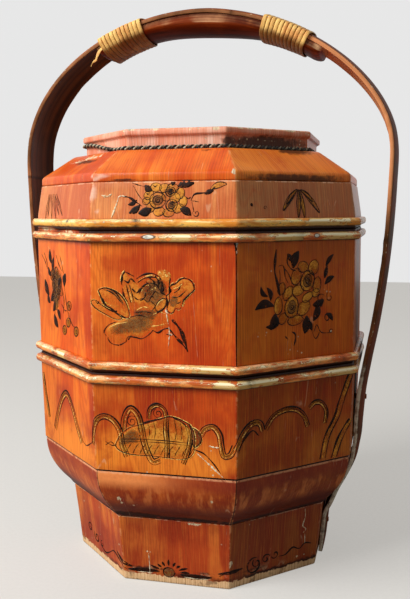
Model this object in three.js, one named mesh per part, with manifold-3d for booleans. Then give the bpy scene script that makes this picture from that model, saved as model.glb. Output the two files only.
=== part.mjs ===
// Lacquered food basket: an eight-sided stack of two storeys and a lid on a splayed foot, carried by a
// bent bamboo strap. Millimetres, +Z up. The origin lies on the floor, under the middle of the foot.
// The front face looks along -Y, and the handle spans from left (-X) to right (+X).
import * as THREE from "three";
import { mergeVertices } from "three/addons/utils/BufferGeometryUtils.js";
import Module from "manifold-3d";

const wasm = await Module();
wasm.setup();

// Clearances
const fit = 0.3; // between glued or resting pieces
const slipFit = 0.7; // between a tongue and the storey that drops over it
const mitreGap = 0.4; // between neighbouring boards of a ring

// Plan: a regular octagon, given by its apothem (centre to the middle of a flat)
const faceNames = ["front", "front_right", "right", "back_right", "back", "back_left", "left", "front_left"];
const faceCount = faceNames.length;
const halfFace = Math.PI / faceCount;
const firstFaceAngle = -Math.PI / 2;
const wallApothem = 150;

// Foot
const footInset = 27; // from the wall to the foot's top
const footSplay = 6.5;
const footHeight = 62;
const footThickness = 10;

// Bottom moulding: a bowl-shaped band
const mouldingOverhang = 3.5; // past the foot's top
const mouldingLipHeight = 4;
const mouldingHeight = 45;
const mouldingTopInset = 2.7;
const mouldingPower = 2.2;
const mouldingSteps = 7;
const mouldingSeatOverhang = 1; // past the foot's top edge
const floorSeatHeight = 14;

// Walls of the two storeys
const bottomWallInset = 1.8;
const wallThickness = 10.5;
const bottomWallHeight = 85.4;
const wallStraightHeight = 12;
const middleWallHeight = 118.4;
const floorThickness = 8;
const middleFloorThickness = 6;
const middleFloorRise = 10;
const floorRest = 4.7; // how far the lower floor reaches out over the foot's boards

// Tongues: inner rings that stand up into the storey above
const tongueThickness = 5;
const tongueRise = 8;
const tongueDepth = 22;

// Half-round cane beads
const beadDepth = 5;
const beadHeight = 7;
const beadEdgeDrop = 2.1;
const beadSetback = 5.8; // middle of a bead to the joint between two storeys
const beadArcSteps = 5;
const cornerSteps = 2;

// Lid
const lidWallHeight = 39.7;
const lidWallStraight = 9.5;
const lidWallLean = 4.3; // how far in its top lies
const eaveSetback = 0.6; // from the top of the lid's wall
const eaveBulge = 0.3;
const eaveHeight = 7;
const eaveRound = 2.2;
const roofRun = 29.3;
const roofRise = 20.8;
const roofThickness = 8;
const roofRimWidth = 25.8;
const collarSetback = 10.3; // from the roof's top edge
const collarLipOverhang = 3;
const collarLipHeight = 6.5;
const collarHeight = 18;
const collarThickness = 8;
const collarLipDraft = 1;
const collarChamfer = 1.5;
const topBoardThickness = 6.5;

// Rope round the collar: low at the front, pushed up under the lip at the left
const ropeDiameter = 3.6;
const ropeSides = 8;
const ropeRiseInset = 50; // how far in from the left flat the rope starts to rise
const ropeRiseEnd = 5;

// Handle strap: a slat whose two edges lie inwards. On each side it stands up beside the foot, sweeps
// out round the moulding, clears the beads, bows out to a shoulder and meets the other side in an arch.
const strapWidth = 56;
const strapThickness = 4;
const strapCurl = 4.5; // how far the middle of the slat bulges outwards
const strapFootCurl = 0.4;
const curlStartDrop = 12; // below the foot's top, where the slat starts to take its curl
const curlRise = 100; // height over which it takes its full curl
const strapStandOff = 0.8;
const strapFloorGap = 4;
const strapFootLeave = 20; // below the foot's top, where the slat leaves the foot
const strapFootPoints = 4;
const strapBridge = [[1.2, -7], [7, 7]]; // beyond the moulding's lower edge, above the foot's top
const strapMouldingJoin = 27; // below the moulding's top
const strapMouldingLeave = 3;
const strapMouldingPoints = 3;
const strapWallJoin = 7; // above the wall's base
const strapWallRest = 21;
const strapWallLeave = 37; // below the wall's top
const strapBeadGap = 1.5;
const handleRoom = 112.7; // lid collar to the strap's inner edges at the crown
const crownShift = 2;
const shoulders = {
  right: { beyondWall: 27.3, belowCrown: 125, archPower: 1.8 },
  left: { beyondWall: 21.5, belowCrown: 130, archPower: 1.92 },
};
const bowPoints = 6;
const archPoints = 8;
const strapStepsPerPoint = 2;
const strapSectionSteps = 6;
const bisections = 40;

// Handle grip
const gripWidth = 52;
const gripDepth = 16; // below the strap's edges, in the middle
const gripEndDepth = 9.5; // under the windings
const gripSideShare = 0.44; // how much of the depth is straight side
const gripSeatGap = 0.45;
const gripFromX = -101;
const gripToX = 116;
const gripStations = 26;
const gripEndRound = 9;
const gripTopSteps = 6;
const gripArcSteps = 10;
const gripThinning = [0.2, 0.55]; // from the middle (0) to the end (1), where the depth falls
const gripEndWidthShare = 0.8;
const gripEndSideShare = 0.55;
const gripEndFullness = 0.35;

// Rattan windings
const strandWidth = 3.2;
const strandThickness = 1.4;
const windingPitch = 4.1;
const windingTurns = 11;
const windingTopSteps = 6;
const windingBellySteps = 12;
const windingCornerSteps = 6;
const stepsPerTurn = windingTopSteps + windingBellySteps + windingCornerSteps;
const windingStandOff = 1.3; // strand middle to what it binds
const windingSideLean = 0.1;
const strandOutline = [[-0.5, 0.2], [-0.36, -0.5], [0.36, -0.5], [0.5, 0.2], [0.3, 0.5], [-0.3, 0.5]];
const leftWindingMiddleX = -76;
const rightWindingMiddleX = 82;

// Pegs
const pegDiameter = 5;
const pegSides = 12;
const pegDepth = 6; // into the board
const pegProud = 1;
const footPegBelowTop = 36;
const wallPegRise = 41;

// Apothems and heights that follow from the sizes above
const footTopApothem = wallApothem - footInset;
const footBottomApothem = footTopApothem - footSplay;
const mouldingBottomApothem = footTopApothem + mouldingOverhang;
const bottomFloorApothem = footTopApothem - footThickness + floorRest;
const lidWallTopApothem = wallApothem - lidWallLean;
const eaveApothem = lidWallTopApothem - eaveSetback;
const roofTopApothem = eaveApothem - roofRun;
const roofOpeningApothem = roofTopApothem - roofRimWidth;
const collarApothem = roofTopApothem - collarSetback;
const floorSeat = footHeight + fit;
const mouldingTop = floorSeat + mouldingLipHeight + mouldingHeight - fit;
const bottomWallBase = mouldingTop + fit;
const bottomWallTop = bottomWallBase + bottomWallHeight;
const middleWallBase = bottomWallTop + fit;
const middleWallTop = middleWallBase + middleWallHeight;
const lidWallBase = middleWallTop + fit;
const lidWallTop = lidWallBase + lidWallHeight;
const eaveBase = lidWallTop + fit;
const eaveTop = eaveBase + eaveHeight;
const roofTop = eaveTop + roofRise;
const collarBase = roofTop + fit;
const collarTop = collarBase + collarHeight;
const wallInner = wallApothem - wallThickness;
const bottomTongueOuter = wallInner - fit;
const middleInner = bottomTongueOuter + slipFit;
const middleTongueOuter = middleInner - fit;
const lidInner = middleTongueOuter + slipFit;
const mouldingSpan = mouldingTop - floorSeat - mouldingLipHeight;
const mouldingTopApothem = wallApothem - mouldingTopInset;
const crownHeight = collarTop + handleRoom;

const basket = new THREE.Group();

function finish(color, roughness) {
  return new THREE.MeshStandardMaterial({ color, roughness, metalness: 0 });
}

const lacquer = () => finish(0xb5491d, 0.32);
const lidLacquer = () => finish(0xd2601c, 0.28);
const mouldingLacquer = () => finish(0xa03c1c, 0.35);
const caneBead = () => finish(0xc98a4a, 0.5);
const bareWood = () => finish(0xc9a36c, 0.8);
const darkBamboo = () => finish(0x5c3018, 0.4);
const gripBamboo = () => finish(0x8a3f1c, 0.35);
const rattan = () => finish(0xcda254, 0.6);
const ropeFibre = () => finish(0x8d8a78, 0.9);

function addPiece(name, geometry, material, turn = 0) {
  const mesh = new THREE.Mesh(geometry, material);
  mesh.name = name;
  mesh.rotation.z = turn;
  basket.add(mesh);
  return mesh;
}

// One closed body from a list of equal rings of points, which run anticlockwise seen from where the
// loft sets out. Open ends are capped with the given outline.
function loft(rings, outline, closed = false) {
  const sides = rings[0].length;
  const positions = rings.flat().flatMap((p) => [p.x, p.y, p.z]);
  const faces = [];
  const spans = closed ? rings.length : rings.length - 1;
  for (let i = 0; i < spans; i += 1) {
    const here = i * sides;
    const next = ((i + 1) % rings.length) * sides;
    for (let j = 0; j < sides; j += 1) {
      const k = (j + 1) % sides;
      faces.push(here + j, next + k, here + k);
      faces.push(here + j, next + j, next + k);
    }
  }
  if (!closed) {
    const last = (rings.length - 1) * sides;
    for (const [a, b, c] of THREE.ShapeUtils.triangulateShape(outline, [])) {
      faces.push(a, b, c);
      faces.push(last + a, last + c, last + b);
    }
  }
  const geometry = new THREE.BufferGeometry();
  geometry.setAttribute("position", new THREE.Float32BufferAttribute(positions, 3));
  geometry.setIndex(faces);
  return geometry;
}

// A ring turned with eight straight sides. The profile is a closed list of [apothem, height].
function octagonRing(profile) {
  const points = profile.map(([apothem, height]) => new THREE.Vector2(apothem / Math.cos(halfFace), height));
  points.push(points[0].clone());
  const geometry = new THREE.LatheGeometry(points, faceCount, halfFace);
  geometry.rotateX(Math.PI / 2);
  return geometry;
}

function octagonBoard(apothem, base, top) {
  const radius = apothem / Math.cos(halfFace);
  const geometry = new THREE.CylinderGeometry(radius, radius, top - base, faceCount, 1, false, halfFace);
  geometry.rotateX(Math.PI / 2);
  geometry.translate(0, 0, (base + top) / 2);
  return geometry;
}

// One board of a mitred ring: the profile, a closed list of [apothem, height], runs along the face and
// its two ends lie on the mitre planes of the octagon.
function mitredBoard(profile) {
  const shape = new THREE.Shape(profile.map(([apothem, height]) => new THREE.Vector2(apothem, height)));
  const geometry = new THREE.ExtrudeGeometry(shape, { depth: 1, bevelEnabled: false });
  const position = geometry.attributes.position;
  for (let i = 0; i < position.count; i += 1) {
    const apothem = position.getX(i);
    const height = position.getY(i);
    const halfWidth = apothem * Math.tan(halfFace) - mitreGap / 2 / Math.cos(halfFace);
    const side = position.getZ(i) > 0.5 ? -1 : 1;
    position.setXYZ(i, apothem, side * halfWidth, height);
  }
  return geometry;
}

function faceTurn(index) {
  return firstFaceAngle + (index * 2 * Math.PI) / faceCount;
}

function toSolid(geometry) {
  const bare = geometry.clone();
  bare.deleteAttribute("normal");
  bare.deleteAttribute("uv");
  const merged = mergeVertices(bare, 1e-4);
  const vertProperties = Float32Array.from(merged.attributes.position.array);
  const triVerts = Uint32Array.from(merged.index.array);
  return new wasm.Manifold(new wasm.Mesh({ numProp: 3, vertProperties, triVerts }));
}

function fromSolid(solid) {
  const mesh = solid.getMesh();
  const geometry = new THREE.BufferGeometry();
  geometry.setAttribute("position", new THREE.BufferAttribute(mesh.vertProperties, 3));
  geometry.setIndex(new THREE.BufferAttribute(mesh.triVerts, 1));
  return geometry;
}

function drill(geometry, holes) {
  return fromSolid(holes.reduce((solid, hole) => solid.subtract(toSolid(hole)), toSolid(geometry)));
}

// Sizes of the body at a height, which the handle follows
function footApothemAt(height) {
  return footBottomApothem + ((footTopApothem - footBottomApothem) * height) / footHeight;
}

function mouldingApothemAt(height) {
  const drop = (mouldingTop - height) / mouldingSpan;
  return mouldingTopApothem - (mouldingTopApothem - mouldingBottomApothem) * drop ** mouldingPower;
}

function bottomWallApothemAt(height) {
  const share = (height - bottomWallBase) / (bottomWallHeight - wallStraightHeight);
  return wallApothem - bottomWallInset * Math.max(0, 1 - share);
}

// Handle route: the line of the strap's inner edges, as [distance from the middle, height], from the
// floor up. The lower run follows the body, with the slat bridging the step under the moulding.
function evenly(from, to, count) {
  return Array.from({ length: count }, (_, i) => from + ((to - from) * i) / (count - 1));
}

function lowerRun() {
  const alongFoot = evenly(strapFloorGap, footHeight - strapFootLeave, strapFootPoints);
  const alongMoulding = evenly(
    mouldingTop - strapMouldingJoin, mouldingTop - strapMouldingLeave, strapMouldingPoints);
  const alongWall = [bottomWallBase + strapWallJoin, bottomWallBase + strapWallRest];
  return [
    ...alongFoot.map((z) => [footApothemAt(z) + strapStandOff, z]),
    ...strapBridge.map(([beyond, above]) => [mouldingBottomApothem + beyond, footHeight + above]),
    ...alongMoulding.map((z) => [mouldingApothemAt(z) + strapStandOff, z]),
    ...alongWall.map((z) => [bottomWallApothemAt(z) + strapStandOff, z]),
    [wallApothem + 2 * strapStandOff, bottomWallTop - strapWallLeave],
  ];
}

// From the bead to the shoulder the slat leans out ever less, as a parabola does
function bow({ beyondWall, belowCrown }) {
  const start = beadDepth + fit + strapBeadGap;
  const base = bottomWallTop - beadSetback;
  const rise = crownHeight - belowCrown - base;
  return Array.from({ length: bowPoints }, (_, i) => {
    const t = i / bowPoints;
    return [wallApothem + start + (beyondWall - start) * (1 - (1 - t) ** 2), base + rise * t];
  });
}

// From the shoulder to the crown it follows a quarter of a superellipse
function arch({ beyondWall, belowCrown, archPower }) {
  return Array.from({ length: archPoints }, (_, i) => {
    const angle = (Math.PI / 2) * (i / archPoints);
    const reach = (wallApothem + beyondWall) * Math.cos(angle) ** (2 / archPower);
    return [reach, crownHeight - belowCrown * (1 - Math.sin(angle) ** (2 / archPower))];
  });
}

function sideRun(shoulder) {
  return [...lowerRun(), ...bow(shoulder), ...arch(shoulder)];
}

const strapRoute = new THREE.CatmullRomCurve3(
  [
    ...sideRun(shoulders.right).map(([x, z]) => new THREE.Vector3(x, 0, z)),
    new THREE.Vector3(crownShift, 0, crownHeight),
    ...sideRun(shoulders.left).reverse().map(([x, z]) => new THREE.Vector3(-x, 0, z)),
  ],
  false,
  "centripetal",
);

// The share of the route's length, between two shares, up to which its points pass a test
function lastShare(from, to, passes) {
  let low = from;
  let high = to;
  for (let i = 0; i < bisections; i += 1) {
    const middle = (low + high) / 2;
    if (passes(strapRoute.getPointAt(middle))) low = middle;
    else high = middle;
  }
  return low;
}

// Where the route crosses x on its way over the top, from right to left
function shareAtX(x) {
  return lastShare(0.25, 0.75, (point) => point.x > x);
}

// A frame on the route: "out" points away from the basket and "across" along the strap's width
function frameFrom(point, tangent) {
  const out = new THREE.Vector3(tangent.z, 0, -tangent.x);
  return { point, out, across: new THREE.Vector3(0, 1, 0) };
}

function placeSection(frame, section) {
  return section.map(({ x: across, y: out }) =>
    frame.point.clone().addScaledVector(frame.across, across).addScaledVector(frame.out, out));
}

function curlAt(height) {
  const curlStart = footHeight - curlStartDrop;
  const share = THREE.MathUtils.smoothstep(height, curlStart, curlStart + curlRise);
  return strapFootCurl + (strapCurl - strapFootCurl) * share;
}

function curlOut(across, curl) {
  return curl * (1 - (across / (strapWidth / 2)) ** 2);
}

// Strap section at a height: an arched slat, as (across, out)
function strapSection(height) {
  const curl = curlAt(height);
  const stations = Array.from({ length: strapSectionSteps + 1 }, (_, i) =>
    -strapWidth / 2 + (strapWidth * i) / strapSectionSteps);
  const inner = stations.map((y) => new THREE.Vector2(y, curlOut(y, curl)));
  const outer = stations.map((y) => new THREE.Vector2(y, curlOut(y, curl) + strapThickness)).reverse();
  return [...inner, ...outer];
}

function makeStrap() {
  const count = (strapRoute.points.length - 1) * strapStepsPerPoint;
  const rings = [];
  for (let i = 0; i <= count; i += 1) {
    const point = strapRoute.getPoint(i / count);
    const frame = frameFrom(point, strapRoute.getTangent(i / count));
    rings.push(placeSection(frame, strapSection(point.z)));
  }
  return loft(rings, strapSection(0));
}

// How far out the middle of the strap's face lies at a height beside the body
function strapFaceAt(height) {
  const share = lastShare(0, 0.25, (point) => point.z < height);
  return strapRoute.getPointAt(share).x + curlAt(height) + strapThickness;
}

// Pegs pass through the strap along X into the board behind it
const footPegHeight = footHeight - footPegBelowTop;
const wallPegHeight = bottomWallBase + wallPegRise;

function pegPlace(height, board) {
  return { height, board, face: strapFaceAt(height) };
}

const pegs = {
  foot: pegPlace(footPegHeight, footApothemAt(footPegHeight)),
  wall: pegPlace(wallPegHeight, bottomWallApothemAt(wallPegHeight)),
};
const pegSigns = { right: 1, left: -1 };

function pegCylinder(place, sign, extra) {
  const inner = place.board - pegDepth - extra;
  const outer = place.face + pegProud + extra;
  const radius = pegDiameter / 2 + extra;
  const geometry = new THREE.CylinderGeometry(radius, radius, outer - inner, pegSides);
  geometry.rotateZ(Math.PI / 2);
  geometry.translate((sign * (inner + outer)) / 2, 0, place.height);
  return geometry;
}

// The grip is thick in the middle and thinner under the windings
const gripStart = shareAtX(gripToX);
const gripEnd = shareAtX(gripFromX);

function gripDepthAt(share) {
  const fromMiddle = Math.abs((2 * (share - gripStart)) / (gripEnd - gripStart) - 1);
  return gripDepth + (gripEndDepth - gripDepth) * THREE.MathUtils.smoothstep(fromMiddle, ...gripThinning);
}

// Grip section: an arched top that follows the strap's hollow, straight sides and a round belly.
// The fullness runs from 0 to 1 and draws it in towards the ends.
function gripSection(depth, fullness) {
  const half = (gripWidth / 2) * THREE.MathUtils.lerp(gripEndWidthShare, 1, fullness);
  const side = depth * gripSideShare * THREE.MathUtils.lerp(gripEndSideShare, 1, fullness);
  const belly = depth * (1 - gripSideShare) * fullness;
  const section = [];
  for (let i = 0; i <= gripTopSteps; i += 1) {
    const y = half - (2 * half * i) / gripTopSteps;
    section.push(new THREE.Vector2(y, curlOut(y, strapCurl) - gripSeatGap));
  }
  for (let i = 0; i <= gripArcSteps; i += 1) {
    const angle = (Math.PI * i) / gripArcSteps;
    section.push(new THREE.Vector2(-half * Math.cos(angle), -side - belly * Math.sin(angle)));
  }
  return section;
}

function makeGrip() {
  const routeLength = strapRoute.getLength();
  const length = (gripEnd - gripStart) * routeLength;
  const rings = [];
  for (let i = 0; i <= gripStations; i += 1) {
    const along = (length * (1 - Math.cos((Math.PI * i) / gripStations))) / 2;
    const fromEnd = Math.min(along, length - along);
    const inset = Math.max(0, 1 - fromEnd / gripEndRound);
    const fullness = THREE.MathUtils.lerp(gripEndFullness, 1, Math.sqrt(1 - inset * inset));
    const share = gripStart + along / routeLength;
    const frame = frameFrom(strapRoute.getPointAt(share), strapRoute.getTangentAt(share));
    rings.push(placeSection(frame, gripSection(gripDepthAt(share), fullness)));
  }
  return loft(rings, gripSection(gripDepth, 1));
}

// Where a winding's strand runs round strap and grip: points as (across, out) and the way it faces
function windingOutline(depth) {
  const half = strapWidth / 2;
  const gripHalf = gripWidth / 2;
  const side = depth * gripSideShare;
  const belly = depth - side;
  const stations = [];
  const put = (y, out, ny, nOut) => {
    const facing = new THREE.Vector2(ny, nOut).normalize();
    stations.push({ place: new THREE.Vector2(y, out).addScaledVector(facing, windingStandOff), facing });
  };
  for (let k = 0; k <= windingTopSteps; k += 1) {
    const y = half * Math.cos((Math.PI * k) / windingTopSteps);
    put(y, strapThickness + curlOut(y, strapCurl), (2 * strapCurl * y) / (half * half), 1);
  }
  put(-half, strapThickness, -1, 0);
  put(-half, 0, -1, -windingSideLean);
  for (let k = 0; k <= windingBellySteps; k += 1) {
    const angle = (Math.PI * k) / windingBellySteps;
    put(-gripHalf * Math.cos(angle), -side - belly * Math.sin(angle),
      -Math.cos(angle) / gripHalf, -Math.sin(angle) / belly);
  }
  put(half, 0, 1, -windingSideLean);
  put(half, strapThickness, 1, 0);
  return stations;
}

function makeWinding(middleX) {
  const total = windingTurns * stepsPerTurn;
  const middleShare = shareAtX(middleX);
  const step = windingPitch / stepsPerTurn / strapRoute.getLength();
  const centres = [];
  const facings = [];
  for (let i = 0; i <= total; i += 1) {
    const share = middleShare + (i - total / 2) * step;
    const frame = frameFrom(strapRoute.getPointAt(share), strapRoute.getTangentAt(share));
    const station = windingOutline(gripDepthAt(share))[i % stepsPerTurn];
    centres.push(placeSection(frame, [station.place])[0]);
    facings.push(new THREE.Vector3()
      .addScaledVector(frame.across, station.facing.x)
      .addScaledVector(frame.out, station.facing.y));
  }
  const strand = strandOutline.map(([w, t]) => new THREE.Vector2(w * strandWidth, t * strandThickness));
  const rings = centres.map((centre, i) => {
    const before = centres[Math.max(0, i - 1)];
    const after = centres[Math.min(total, i + 1)];
    const along = after.clone().sub(before).normalize();
    const wide = along.clone().cross(facings[i]).normalize();
    return strand.map(({ x: w, y: t }) =>
      centre.clone().addScaledVector(wide, w).addScaledVector(facings[i], t));
  });
  reportSelfGap(middleX, rings);
  return loft(rings, strand);
}

// The least distance between a ring's points and those of the turns beside it
function reportSelfGap(middleX, rings) {
  const nearby = stepsPerTurn / 4;
  let least = Infinity;
  for (let i = 0; i < rings.length; i += 1) {
    for (let j = i + stepsPerTurn - nearby; j <= i + stepsPerTurn + nearby; j += 1) {
      if (j >= rings.length) break;
      for (const p of rings[i]) {
        for (const q of rings[j]) least = Math.min(least, p.distanceTo(q));
      }
    }
  }
  console.log(`winding at x ${middleX}: least gap to itself ${least.toFixed(2)} mm`);
}

// The octagon's outline at the wall, with each corner turned in small steps, as points with their
// outward direction. A bead or a rope laid on it bends round the corners.
function wallLine(apothem) {
  const radius = apothem / Math.cos(halfFace);
  const line = [];
  for (let k = 0; k < faceCount; k += 1) {
    const cornerAngle = faceTurn(k) + halfFace;
    for (let s = 0; s <= cornerSteps; s += 1) {
      const facing = cornerAngle + halfFace * ((2 * s) / cornerSteps - 1);
      line.push({ x: radius * Math.cos(cornerAngle), y: radius * Math.sin(cornerAngle), facing });
    }
  }
  return line;
}

function makeBead(height) {
  const section = [new THREE.Vector2(fit, -beadHeight / 2)];
  for (let i = 0; i <= beadArcSteps; i += 1) {
    const angle = Math.PI * (i / beadArcSteps - 0.5);
    const out = beadDepth - beadEdgeDrop + beadEdgeDrop * Math.cos(angle);
    section.push(new THREE.Vector2(fit + out, (beadHeight / 2) * Math.sin(angle)));
  }
  section.push(new THREE.Vector2(fit, beadHeight / 2));
  const rings = wallLine(wallApothem).map(({ x, y, facing }) => section.map(({ x: out, y: up }) =>
    new THREE.Vector3(x + out * Math.cos(facing), y + out * Math.sin(facing), height + up)));
  return loft(rings, section, true);
}

function makeRope() {
  const radius = ropeDiameter / 2;
  const low = roofTop + fit + radius;
  const high = collarTop - collarLipHeight - fit - radius;
  const line = wallLine(collarApothem);
  const corners = line.map(({ x, y, facing }) => {
    const out = fit + radius;
    return new THREE.Vector3(x + out * Math.cos(facing), y + out * Math.sin(facing), 0);
  });
  const rings = corners.map((point, i) => {
    const { facing } = line[i];
    const inset = collarApothem + point.x;
    const share = 1 - THREE.MathUtils.smoothstep(inset, ropeRiseEnd, ropeRiseInset);
    const height = low + (high - low) * share;
    return Array.from({ length: ropeSides }, (_, k) => {
      const angle = (2 * Math.PI * k) / ropeSides;
      const out = radius * Math.cos(angle);
      const up = radius * Math.sin(angle);
      return new THREE.Vector3(
        point.x + out * Math.cos(facing), point.y + out * Math.sin(facing), height + up);
    });
  });
  return loft(rings, [], true);
}

// Profiles, as [apothem, height] going round each section
const footProfile = [
  [footBottomApothem - footThickness, 0],
  [footBottomApothem, 0],
  [footTopApothem, footHeight],
  [footTopApothem - footThickness, footHeight],
];

function mouldingProfile() {
  const lip = floorSeat + mouldingLipHeight;
  const outer = Array.from({ length: mouldingSteps + 1 }, (_, i) => {
    const height = lip + (mouldingSpan * i) / mouldingSteps;
    return [mouldingApothemAt(height), height];
  });
  const seatInner = bottomFloorApothem + fit;
  return [
    [seatInner, floorSeat],
    [footTopApothem + mouldingSeatOverhang, floorSeat],
    ...outer,
    [wallInner, mouldingTop],
    [seatInner, floorSeat + floorSeatHeight],
  ];
}

const bottomWallProfile = [
  [wallInner, bottomWallBase],
  [wallApothem - bottomWallInset, bottomWallBase],
  [wallApothem, bottomWallTop - wallStraightHeight],
  [wallApothem, bottomWallTop],
  [wallInner, bottomWallTop],
];

const middleWallProfile = [
  [middleInner, middleWallBase],
  [wallApothem, middleWallBase],
  [wallApothem, middleWallTop],
  [middleInner, middleWallTop],
];

const lidWallProfile = [
  [lidInner, lidWallBase],
  [wallApothem, lidWallBase],
  [wallApothem, lidWallBase + lidWallStraight],
  [lidWallTopApothem, lidWallTop],
  [lidInner, lidWallTop],
];

function roofProfile() {
  const slope = Math.atan2(roofRise, roofRun);
  const innerTop = roofTop - roofThickness;
  const innerTopApothem = roofTopApothem - roofThickness * Math.tan(slope / 2);
  const slopeRun = (innerTop - eaveBase) / Math.tan(slope);
  return [
    [innerTopApothem + slopeRun, eaveBase],
    [eaveApothem - eaveRound / 2, eaveBase],
    [eaveApothem + eaveBulge, eaveBase + eaveRound / 2],
    [eaveApothem + eaveBulge, eaveTop - eaveRound],
    [eaveApothem - eaveRound / 2, eaveTop + eaveRound / 2],
    [roofTopApothem, roofTop],
    [roofOpeningApothem, roofTop],
    [roofOpeningApothem, innerTop],
    [innerTopApothem, innerTop],
  ];
}

const collarProfile = [
  [collarApothem - collarThickness, collarBase],
  [collarApothem, collarBase],
  [collarApothem, collarTop - collarLipHeight],
  [collarApothem + collarLipOverhang, collarTop - collarLipHeight + collarLipDraft],
  [collarApothem + collarLipOverhang, collarTop - collarChamfer],
  [collarApothem + collarLipOverhang - collarChamfer, collarTop],
  [collarApothem - collarThickness, collarTop],
];

function tongueProfile(outer, wallTop) {
  return [
    [outer - tongueThickness, wallTop - tongueDepth],
    [outer, wallTop - tongueDepth],
    [outer, wallTop + tongueRise],
    [outer - tongueThickness, wallTop + tongueRise],
  ];
}

// Boards of the five mitred rings
for (const [index, face] of faceNames.entries()) {
  const turn = faceTurn(index);
  const sign = pegSigns[face];
  const bored = (profile, place) => {
    const board = mitredBoard(profile);
    if (!sign) return board;
    board.rotateZ(turn);
    const hole = drill(board, [pegCylinder(place, sign, fit)]);
    hole.rotateZ(-turn);
    return hole;
  };
  addPiece(`foot_panel_${face}`, bored(footProfile, pegs.foot), lacquer(), turn);
  addPiece(`bottom_tier_panel_${face}`, bored(bottomWallProfile, pegs.wall), lacquer(), turn);
  addPiece(`middle_tier_panel_${face}`, mitredBoard(middleWallProfile), lacquer(), turn);
  addPiece(`lid_wall_panel_${face}`, mitredBoard(lidWallProfile), lidLacquer(), turn);
  addPiece(`lid_roof_panel_${face}`, mitredBoard(roofProfile()), lidLacquer(), turn);
}

// Bottom storey
addPiece("bottom_tier_moulding", octagonRing(mouldingProfile()), mouldingLacquer());
addPiece("bottom_tier_floor",
  octagonBoard(bottomFloorApothem, floorSeat, floorSeat + floorThickness), bareWood());
addPiece("bottom_tier_rim_bead", makeBead(bottomWallTop - beadSetback), caneBead());
addPiece("bottom_tier_tongue", octagonRing(tongueProfile(bottomTongueOuter, bottomWallTop)), bareWood());

// Middle tier
const middleFloorBase = middleWallBase + middleFloorRise;
const middleFloorApothem = middleInner - fit;
addPiece("middle_tier_floor",
  octagonBoard(middleFloorApothem, middleFloorBase, middleFloorBase + middleFloorThickness), bareWood());
addPiece("middle_tier_bottom_bead", makeBead(middleWallBase + beadSetback), caneBead());
addPiece("middle_tier_top_bead", makeBead(middleWallTop - beadSetback), caneBead());
addPiece("middle_tier_tongue", octagonRing(tongueProfile(middleTongueOuter, middleWallTop)), bareWood());

// Lid
addPiece("lid_bead", makeBead(lidWallBase + beadSetback), caneBead());
addPiece("lid_collar", octagonRing(collarProfile), lidLacquer());
const topBoardApothem = collarApothem - collarThickness - fit;
addPiece("lid_top_board",
  octagonBoard(topBoardApothem, collarBase, collarBase + topBoardThickness), lidLacquer());
addPiece("lid_rope", makeRope(), ropeFibre());

// Handle
const pegHoles = Object.values(pegs).flatMap((place) => Object.values(pegSigns).map((sign) =>
  pegCylinder(place, sign, fit)));
addPiece("handle_strap", drill(makeStrap(), pegHoles), darkBamboo());
addPiece("handle_grip", makeGrip(), gripBamboo());
addPiece("handle_winding_left", makeWinding(leftWindingMiddleX), rattan());
addPiece("handle_winding_right", makeWinding(rightWindingMiddleX), rattan());
for (const [side, sign] of Object.entries(pegSigns)) {
  addPiece(`foot_peg_${side}`, pegCylinder(pegs.foot, sign, 0), darkBamboo());
  addPiece(`wall_peg_${side}`, pegCylinder(pegs.wall, sign, 0), darkBamboo());
}

export default basket;
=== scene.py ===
# %% [markdown]
# # A lacquered food basket
# This lesson dresses an eight-sided wooden food basket: two storeys and a lid, stacked on a splayed foot and
# carried by a bent bamboo strap. The construction comes first, as a fixed frame of real sizes. Every piece
# made here takes its place from that frame, so nothing has to be fitted by hand afterwards.

# %% Load the construction
import math
from types import SimpleNamespace

import bmesh
import bpy
import numpy as np
from mathutils import Matrix, Vector


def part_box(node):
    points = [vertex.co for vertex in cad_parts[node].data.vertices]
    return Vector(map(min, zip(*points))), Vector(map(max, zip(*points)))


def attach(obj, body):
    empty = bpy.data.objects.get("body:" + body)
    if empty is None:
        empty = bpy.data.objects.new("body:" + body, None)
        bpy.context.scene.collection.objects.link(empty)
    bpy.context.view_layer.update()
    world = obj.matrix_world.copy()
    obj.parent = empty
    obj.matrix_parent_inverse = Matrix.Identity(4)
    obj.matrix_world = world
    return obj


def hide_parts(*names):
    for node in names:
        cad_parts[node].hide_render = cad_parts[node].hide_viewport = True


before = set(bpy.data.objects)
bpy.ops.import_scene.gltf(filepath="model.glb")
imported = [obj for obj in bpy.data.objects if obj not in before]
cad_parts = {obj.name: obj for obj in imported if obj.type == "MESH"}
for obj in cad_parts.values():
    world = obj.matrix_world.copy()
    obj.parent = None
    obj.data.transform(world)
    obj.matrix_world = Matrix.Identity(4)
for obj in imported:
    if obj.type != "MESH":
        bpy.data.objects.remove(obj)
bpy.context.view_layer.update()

# %% [markdown]
# ## Camera
# The basket is seen from a little to the right of its front face, about level with the lid, looking slightly
# down. The camera's place and angles were solved from the way the octagon's corners line up.

# %% Camera
MM = 0.001
PHOTO_WIDTH, PHOTO_HEIGHT = 410, 599
FOCAL_PIXELS = 789.2
SENSOR_MM = 36.0
CAMERA_PLACE = Vector((0.1830, -0.7646, 0.3306))
CAMERA_HEADING = Vector((-0.2328, 0.9725, 0.0)).normalized()
CAMERA_PITCH = math.radians(6.34)
CAMERA_ROLL = math.radians(0.30)


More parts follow.
